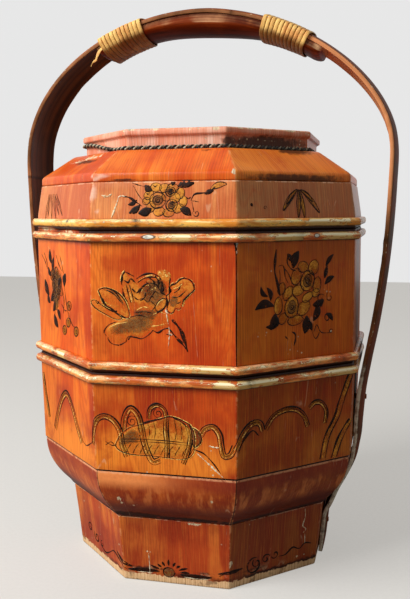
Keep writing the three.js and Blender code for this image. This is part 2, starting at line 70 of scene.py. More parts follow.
def add_camera():
    """The view direction is the heading turned down by the pitch, and the roll turns the other two axes."""
    forward = CAMERA_HEADING * math.cos(CAMERA_PITCH) - Vector((0, 0, math.sin(CAMERA_PITCH)))
    right = CAMERA_HEADING.cross(Vector((0, 0, 1)))
    up = right.cross(forward)
    x_axis = right * math.cos(CAMERA_ROLL) - up * math.sin(CAMERA_ROLL)
    y_axis = right * math.sin(CAMERA_ROLL) + up * math.cos(CAMERA_ROLL)
    data = bpy.data.cameras.new("camera")
    data.sensor_fit = "VERTICAL"
    data.sensor_height = SENSOR_MM
    data.lens = FOCAL_PIXELS / PHOTO_HEIGHT * SENSOR_MM
    camera = bpy.data.objects.new("camera", data)
    turn = Matrix((x_axis, y_axis, -forward)).transposed().to_4x4()
    camera.matrix_world = Matrix.Translation(CAMERA_PLACE) @ turn
    bpy.context.scene.collection.objects.link(camera)
    bpy.context.scene.camera = camera
    return camera


camera = add_camera()
print("lens:", round(camera.data.lens, 2), "mm for a picture of", PHOTO_WIDTH, "by", PHOTO_HEIGHT)

# %% [markdown]
# ## Shader expressions
# A material is a sum of patterns: grain times wear plus grime. Node links hide such sums, so a small class
# wraps an output socket and lets Python's operators add the Math nodes. Every other node comes from one
# method, which sets the node's options first and then its inputs. Colours are hexadecimal and go on in
# coats, as paint does: each coat covers the ones before it where its mask is high.

# %% A socket that can be added and multiplied


class Wire:
    """One output socket of a shader. Its operators add Math nodes and return the new socket."""

    def __init__(self, shader, socket):
        self.shader = shader
        self.socket = socket

    def math(self, operation, *inputs):
        return self.shader.node("ShaderNodeMath", dict(enumerate(inputs)), operation=operation)

    def __add__(self, other):
        return self.math("ADD", self, other)

    def __sub__(self, other):
        return self.math("SUBTRACT", self, other)

    def __rsub__(self, other):
        return self.math("SUBTRACT", other, self)

    def __mul__(self, other):
        return self.math("MULTIPLY", self, other)

    def __pow__(self, power):
        return self.math("POWER", self, power)

    __radd__ = __add__
    __rmul__ = __mul__

    def most(self, other):
        return self.math("MAXIMUM", self, other)

    def wave(self):
        return self.math("SINE", self)

    def rise(self, low, high):
        """0 up to low, 1 from high on, and a smooth step between; it falls where low is above high."""
        ends = (0.0, 1.0) if low < high else (1.0, 0.0)
        inputs = dict(enumerate((self, min(low, high), max(low, high), *ends)))
        return self.shader.node("ShaderNodeMapRange", inputs, interpolation_type="SMOOTHSTEP")


def colour(code):
    """Linear red, green, blue and alpha of a hexadecimal colour."""
    c = np.array([int(code[i:i + 2], 16) for i in (0, 2, 4)]) / 255
    linear = np.where(c <= 0.04045, c / 12.92, ((c + 0.055) / 1.055) ** 2.4)
    return (*linear.tolist(), 1.0)


class Shader:
    """A new material or world, built node by node. Its base is the colour that its coats add up to."""

    def __init__(self, name, library="materials"):
        self.owner = getattr(bpy.data, library).new(name)
        self.owner.use_nodes = True
        self.tree = self.owner.node_tree
        self.tree.nodes.clear()
        self.base = None

    def node(self, kind, inputs, output=0, **settings):
        """Settings, then inputs: links, values or hexadecimal colours. Several outputs make a list."""
        new = self.tree.nodes.new(kind)
        for key, value in settings.items():
            setattr(new, key, value)
        for key, value in inputs.items():
            if isinstance(value, Wire):
                self.tree.links.new(value.socket, new.inputs[key])
            else:
                new.inputs[key].default_value = colour(value) if isinstance(value, str) else value
        if isinstance(output, tuple):
            return [Wire(self, new.outputs[name]) for name in output]
        return Wire(self, new.outputs[output]) if len(new.outputs) else new

    def attribute(self, name):
        return self.node("ShaderNodeAttribute", {}, "Vector", attribute_name=name)

    def numbers(self, *names):
        return [self.node("ShaderNodeAttribute", {}, "Fac", attribute_name=name) for name in names]

    def place(self):
        return self.node("ShaderNodeTexCoord", {}, "Object")

    def parts(self, vector):
        return self.node("ShaderNodeSeparateXYZ", {0: vector}, ("X", "Y", "Z"))

    def noise(self, vector, scale, detail=2.0, roughness=0.5, distortion=0.0):
        """Noise from 0 to 1. A scale of three factors stretches the vector first."""
        if isinstance(scale, tuple):
            vector = self.node("ShaderNodeVectorMath", {0: vector, 1: scale}, operation="MULTIPLY")
            scale = 1.0
        inputs = {"Vector": vector, "Scale": scale, "Detail": detail}
        inputs.update({"Roughness": roughness, "Distortion": distortion})
        return self.node("ShaderNodeTexNoise", inputs, "Fac")

    def speckle(self, scale, detail=2.0, roughness=0.5):
        return self.noise(self.place(), scale, detail, roughness)

    def mix(self, first, second, factor):
        return self.node("ShaderNodeMix", {0: factor, 6: first, 7: second}, 2, data_type="RGBA")

    def coat(self, tint, mask=1.0):
        """Lays a colour over the base where the mask is 1. The first coat is the base itself."""
        self.base = self.mix(self.base, tint, mask) if self.base else tint

    def bump(self, height, distance, strength=1.0):
        return self.node("ShaderNodeBump", {"Height": height, "Distance": distance, "Strength": strength})

    def finish(self, roughness, normal=None, **inputs):
        sockets = {"Base Color": self.base, "Roughness": roughness}
        sockets.update({key.replace("_", " "): value for key, value in inputs.items()})
        if normal:
            sockets["Normal"] = normal
        surface = self.node("ShaderNodeBsdfPrincipled", sockets)
        self.node("ShaderNodeOutputMaterial", {"Surface": surface})
        return self.owner


print("shader helpers ready")

# %% [markdown]
# ## Meshes from arrays
# Each piece is a grid of points worked out with numpy and joined into four-sided faces. The grid may close
# on itself along its rows, its columns or both. Doubled points are merged and the faces turned outwards.

# %% Grids and meshes
LATTICE = (73856093, 19349663, 83492791)


def stacked(*parts):
    """Arrays that fit each other's shapes, as the components of vectors."""
    return np.stack(np.broadcast_arrays(*parts), -1)


def unit(vectors):
    return vectors / np.maximum(np.linalg.norm(vectors, axis=-1, keepdims=True), 1e-12)


def lengths_along(line):
    """The length of a line up to each of its points."""
    return np.concatenate([[0], np.cumsum(np.linalg.norm(np.diff(line, axis=0), axis=1))])


def at_lengths(at, length, table):
    """A line's two coordinates, or any two columns, at the given lengths along it."""
    return np.stack([np.interp(at, length, table[:, k]) for k in (0, 1)], -1)


def grid_faces(grid, wrap_rows=False, wrap_columns=True):
    """Four corners of each face between neighbouring rows and columns, joined round where a side wraps."""
    rows, columns = grid.shape[:2]
    r = np.arange(rows if wrap_rows else rows - 1)
    c = np.arange(columns if wrap_columns else columns - 1)
    r0, c0 = np.meshgrid(r, c, indexing="ij")
    r1, c1 = (r0 + 1) % rows, (c0 + 1) % columns
    corners = [r0 * columns + c0, r0 * columns + c1, r1 * columns + c1, r1 * columns + c0]
    return np.stack(corners, -1).reshape(-1, 4)


def tube_faces(grid):
    """Faces of a section carried along a path: closed round the section, with both ends capped."""
    rows, columns = grid.shape[:2]
    first = list(range(columns))
    last = [(rows - 1) * columns + i for i in range(columns)]
    return [*grid_faces(grid).tolist(), first, last[::-1]]


def new_piece(name, points, faces, material, body, slot, nodes=(), attributes=None, sharp=None):
    """A mesh object at the origin, with its points in metres, that rides on a body and stands for its nodes.
    An attribute is one vector for each point, or numbers that fit the shape of the points' grid."""
    mesh = bpy.data.meshes.new(name)
    mesh.from_pydata(points.reshape(-1, 3).tolist(), [], [list(f) for f in faces])
    for key, values in (attributes or {}).items():
        values = np.asarray(values, np.float32)
        if values.shape == points.shape:
            layer = mesh.attributes.new(key, "FLOAT_VECTOR", "POINT")
            layer.data.foreach_set("vector", values.ravel())
        else:
            layer = mesh.attributes.new(key, "FLOAT", "POINT")
            layer.data.foreach_set("value", np.broadcast_to(values, points.shape[:-1]).ravel())
    work = bmesh.new()
    work.from_mesh(mesh)
    bmesh.ops.remove_doubles(work, verts=work.verts, dist=1e-6)
    bmesh.ops.dissolve_degenerate(work, edges=work.edges, dist=1e-7)
    bmesh.ops.recalc_face_normals(work, faces=work.faces)
    work.to_mesh(mesh)
    work.free()
    mesh.shade_smooth()
    if sharp:
        mesh.set_sharp_from_angle(angle=math.radians(sharp))
    mesh.materials.append(material)
    piece = bpy.data.objects.new(name, mesh)
    bpy.context.scene.collection.objects.link(piece)
    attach(piece, body)
    if nodes:
        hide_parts(*nodes)
    return piece


def clouds(points, cell, seed=0):
    """Smooth noise from 0 to 1: a random value at each corner of a cubic lattice of the given cell size,
    blended inside a cell with the weight 3t^2 - 2t^3."""
    q = points / cell + 31.7 * (seed + 1)
    low = np.floor(q).astype(np.int64)
    t = q - low
    t = t * t * (3 - 2 * t)
    total = 0
    for corner in np.ndindex(2, 2, 2):
        x, y, z = [(low[..., k] + corner[k]) * LATTICE[k] for k in range(3)]
        mixed = ((x ^ y ^ z) * 2654435761 + seed * 97) & 0xFFFFFFFF
        mixed = ((mixed >> 15) ^ mixed) * 2246822519 & 0xFFFFFFFF
        value = (mixed >> 8 & 0xFFFF) / 0xFFFF
        x, y, z = [t[..., k] if corner[k] else 1 - t[..., k] for k in range(3)]
        total = total + value * (x * y) * z
    return total


def ease(x, low, high):
    """0 below low, 1 above high and 3t^2 - 2t^3 between."""
    t = np.clip((x - low) / (high - low), 0, 1)
    return t * t * (3 - 2 * t)


def eased(corners, radii, steps=3):
    """A closed outline with its corners rounded. Each corner becomes a quadratic Bezier curve whose control
    point is the corner and whose ends lie one radius back along the sides. Doubled points are dropped."""
    p = np.array(corners, float)
    ends = []
    for side in (np.roll(p, 1, 0) - p, np.roll(p, -1, 0) - p):
        length = np.linalg.norm(side, axis=1)
        ends.append(p + side * (np.minimum(radii, 0.48 * length) / length)[:, None])
    t = np.linspace(0, 1, steps + 1)[None, :, None]
    curve = (1 - t) ** 2 * ends[0][:, None] + 2 * t * (1 - t) * p[:, None] + t ** 2 * ends[1][:, None]
    curve = curve.reshape(-1, 2)
    keep = np.linalg.norm(curve - np.roll(curve, 1, 0), axis=1) > 1e-7
    return curve[keep]


def refined(outline, step):
    """The same closed outline with its long sides cut into lengths of at most one step."""
    on = np.roll(outline, -1, 0)
    counts = np.maximum(1, np.ceil(np.linalg.norm(on - outline, axis=1) / step).astype(int))
    start = np.repeat(np.arange(len(outline)), counts)
    share = np.concatenate([np.arange(n) / n for n in counts])[:, None]
    return outline[start] + (on - outline)[start] * share


def spline(p, samples):
    """A centripetal Catmull-Rom curve through the points. Each knot interval is the square root of the
    distance between two points, and each span is the cubic with matching tangents at its ends."""
    p = np.vstack([2 * p[0] - p[1], p, 2 * p[-1] - p[-2]])
    gap = np.sqrt(np.linalg.norm(np.diff(p, axis=0), axis=1))[:, None]
    a, b, c, d = p[:-3], p[1:-2], p[2:-1], p[3:]
    g0, g1, g2 = gap[:-2], gap[1:-1], gap[2:]
    leave = ((b - a) / g0 - (c - a) / (g0 + g1) + (c - b) / g1) * g1
    arrive = ((c - b) / g1 - (d - b) / (g1 + g2) + (d - c) / g2) * g1
    spans = len(b)
    u = np.linspace(0, spans, samples)
    i = np.minimum(u.astype(int), spans - 1)
    t = (u - i)[:, None]
    cubic = 2 * b[i] - 2 * c[i] + leave[i] + arrive[i]
    square = -3 * b[i] + 3 * c[i] - 2 * leave[i] - arrive[i]
    return b[i] + leave[i] * t + square * t ** 2 + cubic * t ** 3


print("mesh helpers ready")

# %% [markdown]
# ## The octagon
# Every ring of the basket is a regular octagon, given by its apothem, the distance from the middle to a flat
# side. The outer faces were planed and lacquered by hand, so they are a little uneven and their corners are
# soft. Both belong in the mesh, because a glossy surface shows them in every reflection.

# %% Rings of the construction
FACES = ["front", "front_right", "right", "back_right", "back", "back_left", "left", "front_left"]
HALF = math.pi / len(FACES)
TAN_HALF = math.tan(HALF)
ROWS_ON_FLAT = 25
ROWS_ON_CORNER = 4
UNEVEN = 0.17 * MM
WHOLE_RING_SEED = 11
# The face where the lacquer is painted most yellowed and darker: old colour and painted shade.
AGED_AND_SHADED_FACE = 1.6


def ring_box(node):
    """Outer and inner apothem, base and top of the ring that a front board or a whole ring belongs to."""
    low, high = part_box(node)
    return SimpleNamespace(outer=-low.y, inner=-high.y, base=low.z, top=high.z)


def heading(index):
    return -math.pi / 2 + index * 2 * HALF


def uneven(x, y, z):
    """How far a hand-planed face stands out: three slow sine waves over the height and the plan."""
    low = np.sin(61 * x + 47 * z) * np.cos(53 * y - 38 * z)
    high = np.sin(118 * z + 71 * x - 64 * y)
    return UNEVEN * (0.7 * low + 0.3 * high)


def face_grid(outline, corner, opened=(0, 0)):
    """One side of an octagonal ring, as arrays of (along, out, turn) for each row and outline point. On the
    flat, along runs evenly and out is the apothem. On a round corner of angle phi, along is the flat's end
    plus radius times sin(phi), and out is the apothem less radius times 1 - cos(phi)."""
    apothem = outline[:, 0]
    flat = (apothem - corner) * TAN_HALF
    t = np.linspace(-1, 1, ROWS_ON_FLAT)[:, None]
    phi = np.linspace(0, HALF, ROWS_ON_CORNER + 1)[1:, None]
    arc_along = flat + corner * np.sin(phi)
    arc_out = apothem - corner * (1 - np.cos(phi))
    along = np.vstack([-arc_along[::-1], flat * t, arc_along])
    out = np.vstack([arc_out[::-1], apothem + 0 * t, arc_out])
    turn = np.vstack([-phi[::-1], 0 * t, phi])
    along[0] += opened[0]
    along[-1] -= opened[1]
    return along, out, turn


def to_world(index, along, out, height, turn, raised):
    """A point of a face, moved outwards by the given amount along its own outward direction."""
    a = heading(index)
    x = out * np.cos(a) - along * np.sin(a) + raised * np.cos(a + turn)
    y = out * np.sin(a) + along * np.cos(a) + raised * np.sin(a + turn)
    return stacked(x, y, height)


def outer_side(outline):
    """Heights and apothems of an outline's outer side, from its lowest to its highest point."""
    heights = np.linspace(outline[:, 1].min(), outline[:, 1].max(), 60)
    outs = np.full(len(heights), -1.0)
    for a, b in zip(outline, np.roll(outline, -1, 0)):
        low, high = sorted((a[1], b[1]))
        inside = (heights >= low - 1e-9) & (heights <= high + 1e-9)
        share = (heights - a[1]) / (b[1] - a[1]) if high - low > 1e-9 else np.ones_like(heights)
        outs = np.where(inside, np.maximum(outs, a[0] + (b[0] - a[0]) * np.clip(share, 0, 1)), outs)
    return heights, outs


def make_ring(corners, radii, corner=3.2, step=6, wavy=True):
    """What boards, whole rings and brushwork need to know of one ring. The radii of its outline and of its
    eight corners, and the longest step of its outline, are in millimetres."""
    outline = refined(eased(corners, np.multiply(radii, MM)), step * MM)
    heights, outs = outer_side(outline)
    near = outline[:, 0] - np.interp(outline[:, 1], heights, outs)
    return SimpleNamespace(
        outline=outline, heights=heights, outs=outs, corner=corner * MM, wavy=wavy, solid=False,
        skin=ease(near, -2.5 * MM, -0.6 * MM), inside=1 - ease(near, -5.5 * MM, -3.0 * MM),
        base=outline[:, 1].min(), top=outline[:, 1].max())


# Placed spots: soot with painted shade, scrapes, and a painted sheen, a pale reflection on the lid's front
# left corner.
WEAR_AND_LIGHT_SPOTS = {
    "soot_and_shade": {
        "bottom_tier_moulding_front": ((-36, 66, 42, 4), (20, 65, 40, 2.5)),
        "bottom_tier_moulding_front_left": ((50, 66, 30, 3),),
        "foot_panel_front": ((-24, 12, 34, 3), (26, 12, 16, 2.5)),
        "foot_panel_front_right": ((-24, 12, 30, 2.5),),
        "lid_collar_front": ((48, 390, 12, 7),),
        "lid_collar_front_right": ((0, 390, 58, 8),),
        "lid_roof_panel_front": ((30, 381, 9, 1.6), (-34, 357, 16, 1.6)),
        "lid_roof_panel_front_left": ((4, 375, 40, 3),),
        "lid_roof_panel_front_right": ((20, 382, 30, 4), (0, 358, 74, 4.6))},
    "scrape": {
        "bottom_tier_moulding_front": ((-44, 82, 5, 7), (-30, 78, 5, 5), (40, 88, 3, 5)),
        "bottom_tier_panel_front": ((42, 136, 5, 3), (38, 118, 5, 3)),
        "foot_panel_front": ((52, 20, 5, 8), (46, 34, 3, 4), (20, 60, 24, 1.2)),
        "foot_panel_front_right": ((-48, 24, 4, 7), (26, 15, 22, 3.5)),
        "middle_tier_panel_front_left": ((-36, 316, 30, 3.5), (18, 314, 24, 2)),
        "middle_tier_top_bead_front": ((-10, 310.6, 6, 2.2),),
        "middle_tier_top_bead_front_right": ((16, 310.4, 3, 2.0),),
        "lid_wall_panel_front_left": ((-40, 315.5, 26, 3.5),),
        "lid_roof_panel_front": ((59, 362, 5, 4),),
        "lid_roof_panel_front_left": ((10, 380, 44, 3.5), (-20, 377, 26, 3)),
        "lid_collar_front": ((-40, 401, 6, 3), (-18, 401, 10, 3), (36, 400, 8, 3), (8, 401, 5, 2)),
        "lid_collar_front_right": ((-20, 401, 22, 2), (24, 401, 14, 2), (-4, 391, 26, 1.2))},
    "painted_sheen": {
        "lid_roof_panel_front": ((-52, 360, 11, 3), (-58, 357, 6, 2)),
        "lid_roof_panel_front_left": ((60, 360, 6, 3),),
        "lid_wall_panel_front": ((-59, 346, 6, 10), (-56, 331, 4, 4)),
        "lid_wall_panel_front_left": ((61, 345, 4, 9),)}}


def spot_cover(table, name, lay, side):
    """How strongly the placed spots cover a place: exp(-distance ** 2) from each. A spot is (along, height,
    reach along, reach up), in millimetres, on a board or on one face of a whole ring."""
    value = np.zeros(lay.shape[:-1])
    whole = [(f"{name}_{face}", k * side) for k, face in enumerate(FACES)]
    for place, middle in whole if side else [(name, 0)]:
        for along, height, reach_along, reach_up in table.get(place, ()):
            x = (lay[..., 0] - (along * MM + middle)) / (reach_along * MM)
            y = (lay[..., 1] - height * MM) / (reach_up * MM)
            value = np.maximum(value, np.exp(-x ** 2 - y ** 2))
    return value


def surface_of(name, ring, lay, near, face, side=0):
    """The point attributes that the lacquers read. The lacquer is painted yellowed and darker most on the
    face at
    the front right, and not at all opposite: partly its old colour, partly painted shade on the side turned
    from the lamp."""
    wear_and_light = {kind: spot_cover(table, name, lay, side) for kind, table in WEAR_AND_LIGHT_SPOTS.items()}
    amber_and_shade = 0.5 + 0.5 * np.cos((face - AGED_AND_SHADED_FACE) * 2 * HALF)
    return {"lay": lay, "near": near, "inside": ring.inside, "amber_and_shade": amber_and_shade, **wear_and_light}


def dressed_face(ring, index, grid, shift=0, seed=0, lift=None):
    """One side's points, its places on the face (lay) and its distances to corner and edges (near)."""
    along, out, turn = grid
    height = ring.outline[:, 1] + 0 * along
    lay = stacked(along + shift, height, seed)
    flat = to_world(index, along, out, height, turn, 0)
    raised = uneven(flat[..., 0], flat[..., 1], height) * ring.skin * ring.wavy
    if lift:
        raised = raised + lift(lay) * ring.skin
    near = stacked(out * TAN_HALF - np.abs(along), height - ring.base, ring.top - height)
    return to_world(index, along, out, height, turn, raised), lay, near


def board(name, ring, index, material, body, slot, opened=(0, 0)):
    """One mitred board: the ring's outline carried along a face, closed with a flat end on each mitre."""
    grid = face_grid(ring.outline, ring.corner, opened)
    points, lay, near = dressed_face(ring, index, grid, seed=index)
    attributes = surface_of(name, ring, lay, near, index)
    return new_piece(name, points, tube_faces(points), material, body, slot, [name], attributes, sharp=40)


def whole_ring(name, ring, material, body, slot, extra=None, lift=None):
    """A ring in one piece: the eight sides follow each other, and the last joins the first. Extra attributes
    and the lift, which moves points outwards, are functions of the lay array. On a solid board the grain
    runs straight across instead."""
    grid = [part[:-1] for part in face_grid(ring.outline, ring.corner)]
    side = 2 * TAN_HALF * ring.outs.max()
    faces = [dressed_face(ring, k, grid, k * side, WHOLE_RING_SEED, lift) for k in range(len(FACES))]
    points, lay, near = [np.vstack(parts) for parts in zip(*faces)]
    attributes = surface_of(name, ring, lay, near, lay[..., 0] / side, side)
    attributes.update({key: values(lay) for key, values in (extra or {}).items()})
    if ring.solid:
        attributes["lay"] = stacked(points[..., 0], points[..., 1], WHOLE_RING_SEED)
    quads = grid_faces(points, wrap_rows=True, wrap_columns=not ring.solid)
    return new_piece(name, points, quads, material, body, slot, [name], attributes, sharp=40)


foot_box = ring_box("foot_panel_front")
moulding_box = ring_box("bottom_tier_moulding")
floor_box = ring_box("bottom_tier_floor")
bottom_box = ring_box("bottom_tier_panel_front")
middle_box = ring_box("middle_tier_panel_front")
lid_wall_box = ring_box("lid_wall_panel_front")
roof_box = ring_box("lid_roof_panel_front")
collar_box = ring_box("lid_collar")
print("apothems, mm:", [round(b.outer / MM, 1) for b in (foot_box, bottom_box, roof_box, collar_box)])

# %% [markdown]
# ## Outlines of the rings
# An outline goes once round a ring's section. The boxes of the frame give its outer sizes, and the few that
# a box can't show, such as a board's thickness, are named here. Worn edges get larger radii than inner ones.

# %% Outlines
FIT = 0.3 * MM
FOOT_THICKNESS = 10 * MM
BOTTOM_WALL_LEAN = 1.8 * MM
WALL_STRAIGHT = 12 * MM
MOULDING_LIP = 4 * MM
MOULDING_BOTTOM = foot_box.outer + 3.5 * MM
MOULDING_POWER = 2.2
FLOOR_SEAT = 14 * MM
LID_WALL_STRAIGHT = 9.5 * MM
LID_WALL_LEAN = 4.3 * MM
EAVE_HEIGHT = 7 * MM
EAVE_BULGE = 0.3 * MM
ROOF_RUN = 29.3 * MM
ROOF_THICKNESS = 8 * MM
COLLAR_LIP = SimpleNamespace(overhang=3 * MM, height=6.5 * MM, thickness=8 * MM)


def upright(inner, box):
    """A plain section with its inner side at the given apothem."""
    return [(inner, box.base), (box.outer, box.base), (box.outer, box.top), (inner, box.top)]


foot_bottom = foot_box.inner + FOOT_THICKNESS
foot_ring = make_ring(
    [(foot_box.inner, foot_box.base), (foot_bottom, foot_box.base), (foot_box.outer, foot_box.top),
     (foot_box.outer - FOOT_THICKNESS, foot_box.top)], (0.8, 1.6, 1.8, 0.8))


def moulding_apothem(height):
    """top - (top - bottom) * drop ** power, where the drop goes from 0 at the wall to 1 at the lip."""
    drop = (moulding_box.top - height) / (moulding_box.top - (moulding_box.base + MOULDING_LIP))
    return moulding_box.outer - (moulding_box.outer - MOULDING_BOTTOM) * drop ** MOULDING_POWER


def moulding_corners():
    height = np.linspace(moulding_box.base + MOULDING_LIP, moulding_box.top, 12)
    seat = floor_box.outer + FIT
    start = [(seat, moulding_box.base), (foot_box.outer + 1 * MM, moulding_box.base)]
    end = [(bottom_box.inner, moulding_box.top), (seat, moulding_box.base + FLOOR_SEAT)]
    return [*start, *zip(moulding_apothem(height), height), *end]


moulding_ring = make_ring(moulding_corners(), (0.8, 1.2, 2.2, *[1] * 10, 1.6, 0.6, 1), corner=2.4)
bottom_ring = make_ring(
    [(bottom_box.inner, bottom_box.base), (bottom_box.outer - BOTTOM_WALL_LEAN, bottom_box.base),
     (bottom_box.outer, bottom_box.top - WALL_STRAIGHT), (bottom_box.outer, bottom_box.top),
     (bottom_box.inner, bottom_box.top)], (0.5, 0.9, 0, 1.5, 1))
middle_ring = make_ring(upright(middle_box.inner, middle_box), (1, 1.2, 1.5, 1))
lid_wall_ring = make_ring(
    [(lid_wall_box.inner, lid_wall_box.base), (lid_wall_box.outer, lid_wall_box.base),
     (lid_wall_box.outer, lid_wall_box.base + LID_WALL_STRAIGHT),
     (lid_wall_box.outer - LID_WALL_LEAN, lid_wall_box.top), (lid_wall_box.inner, lid_wall_box.top)],
    (1, 1.2, 6, 0.8, 0.5), corner=5)


def roof_corners():
    """The eave's upright band, the slope, the flat rim under the collar, and the same line inside."""
    eave = roof_box.outer
    top_apothem = roof_box.outer - EAVE_BULGE - ROOF_RUN
    slope = math.atan2(roof_box.top - roof_box.base - EAVE_HEIGHT, ROOF_RUN)
    inner_top = roof_box.top - ROOF_THICKNESS
    inner_apothem = top_apothem - ROOF_THICKNESS * math.tan(slope / 2)
    inner_foot = inner_apothem + (inner_top - roof_box.base) / math.tan(slope)
    return [
        (inner_foot, roof_box.base), (eave, roof_box.base), (eave, roof_box.base + EAVE_HEIGHT),
        (top_apothem, roof_box.top), (roof_box.inner, roof_box.top), (roof_box.inner, inner_top),
        (inner_apothem, inner_top)]


roof_ring = make_ring(roof_corners(), (0.5, 1.2, 2.6, 3, 0.5, 0.5, 1), corner=5)


def collar_corners():
    """A plain band with a wider lip on top."""
    band = collar_box.outer - COLLAR_LIP.overhang
    inner = band - COLLAR_LIP.thickness
    lip_base = collar_box.top - COLLAR_LIP.height
    return [
        (inner, collar_box.base), (band, collar_box.base), (band, lip_base),
        (collar_box.outer, lip_base + MM), (collar_box.outer, collar_box.top), (inner, collar_box.top)]


collar_ring = make_ring(collar_corners(), (0.5, 1, 1.5, 1.4, 2.6, 2), corner=3, step=3)
print("outline points:", [len(r.outline) for r in (foot_ring, moulding_ring, middle_ring, roof_ring)])

# %% [markdown]
# ## Lacquer
# The boards are a pale softwood under a thin, clear, orange-red lacquer. The wood's upright grain shows
# through it, hands have rubbed it lighter at the corners, and the lacquer beside the beads is dirty. Shade
# is
# painted in too: beside the beads, in the gaps between them, under collar, eave and moulding, and on the
# faces towards the front right, and a pale sheen is painted on the lid's front left corner. Two point
# attributes steer this: "lay" holds the place on a face, and "near" the distance to its corner and edges.

# %% Lacquer
# The dark grime colour also paints shade beside the beads and in recesses, and the seam black also paints
# the shade in the gaps between beads.
CREAM, GRIME_AND_SHADE, INNER_LACQUER, SEAM_AND_SHADE_BLACK = "ecdab0", "2a1209", "3a1008", "120806"
LACQUER_GLOSS = {"Specular_IOR_Level": 0.16, "Coat_Weight": 0.05, "Coat_Roughness": 0.12}
YEAR_WIDTH = 2.3 * MM
FLAKE = 5 * MM


def grain_of(s, lay, upright=1.0):
    """Wide bands, fine streaks, a wavy figure and the thin dark lines of the years, all drawn out along the
    board's length. A year line is a sine of the place across the board, pushed sideways by the figure."""
    wide = s.noise(lay, (46, 6 * upright, 3.1), 3, distortion=0.9).rise(0.34, 0.66)
    fine = s.noise(lay, (1200, 24 * upright, 2.3), 4, 0.7)
    figure = s.noise(lay, (20, 3.6 * upright, 5.7), 2, distortion=0.5)
    rings = (figure * 120).wave().rise(0.1, 0.95)
    across = s.parts(lay)[0]
    years = (across * (2 * math.pi / YEAR_WIDTH) + figure * 42).wave().rise(0.25, 1.0)
    return wide, fine, rings, years


def chips_of(s, amount):
    """Small flakes: the middles of a cell pattern, where a broad noise lets them through."""
    cells = s.node("ShaderNodeTexVoronoi", {"Vector": s.place(), "Scale": 1 / FLAKE}, "Distance")
    return (1 - cells.rise(0.10, 0.22)) * s.speckle(42, 3).rise(0.74 - amount, 0.80 - amount)


def raw_wood(s, fine, mottle, rough_edge, above_base):
    """The foot's lowest centimetre: bare wood with dirty pores, and a broken black line above it."""
    worn = above_base + rough_edge * (6 * MM) + mottle * (3 * MM)
    raw = worn.rise(12.0 * MM, 11.0 * MM)
    line = worn.rise(11.2 * MM, 12.0 * MM) * worn.rise(16 * MM, 12.6 * MM)
    scuffed = worn.rise(22 * MM, 13 * MM) * s.speckle(70, 4, 0.7).rise(0.54, 0.62)
    wood = s.mix("c08048", "fad09c", fine.rise(0.3, 0.58))
    wood = s.mix(wood, "4a2c16", above_base.rise(3 * MM, 0.8 * MM) * fine.rise(0.55, 0.35) * 0.8)
    wood = s.mix(wood, "5a2e16", s.speckle(110, 4).rise(0.56, 0.68) * 0.6)
    s.coat("c8a47c", scuffed * 0.6)
    s.coat("140b08", line * mottle.rise(0.42, 0.52) * 0.9)
    s.coat(wood, raw)
    return raw


def bowl_tones(s, lay, above_base, below_top, to_corner, rough_edge):
    """The moulding: a painted highlight in orange along its top on the left and painted shade of dark red
    there on the right, orange-red streaks over its bulge that are old lacquer runs and painted highlights,
    painted shade of dark red below, a black line at the foot, a painted highlight under its top edge, a
    rubbed edge beside each corner and an open mitre at each corner."""
    sunny = s.parts(lay)[0].rise(34 * MM, -30 * MM)
    top = below_top.rise(19 * MM, 7 * MM)
    runs = s.noise(lay, (150, 45, 3.3), 3, 0.6).rise(0.47, 0.66)
    bulge = below_top.rise(9 * MM, 17 * MM) * above_base.rise(13 * MM, 22 * MM)
    s.coat("ff9a54", top * sunny * (0.5 + rough_edge * 0.7))
    s.coat("8a3020", top * (1 - sunny) * 0.45)
    s.coat("ee8c46", bulge * runs * 0.48)
    s.coat("4c1006", above_base.rise(24 * MM, 9 * MM) * 0.8)
    s.coat(SEAM_AND_SHADE_BLACK, above_base.rise(4.5 * MM, 2.6 * MM) * rough_edge.rise(0.36, 0.50) * 0.8)
    s.coat("f0a878", below_top.rise(3.0 * MM, 1.8 * MM) * rough_edge.rise(0.3, 0.55) * 0.7)
    s.coat("d88a54", to_corner.rise(2.2 * MM, 1.0 * MM) * rough_edge.rise(0.45, 0.6) * 0.6)
    s.coat(GRIME_AND_SHADE, to_corner.rise(0.55 * MM, 0.3 * MM) * 0.9)


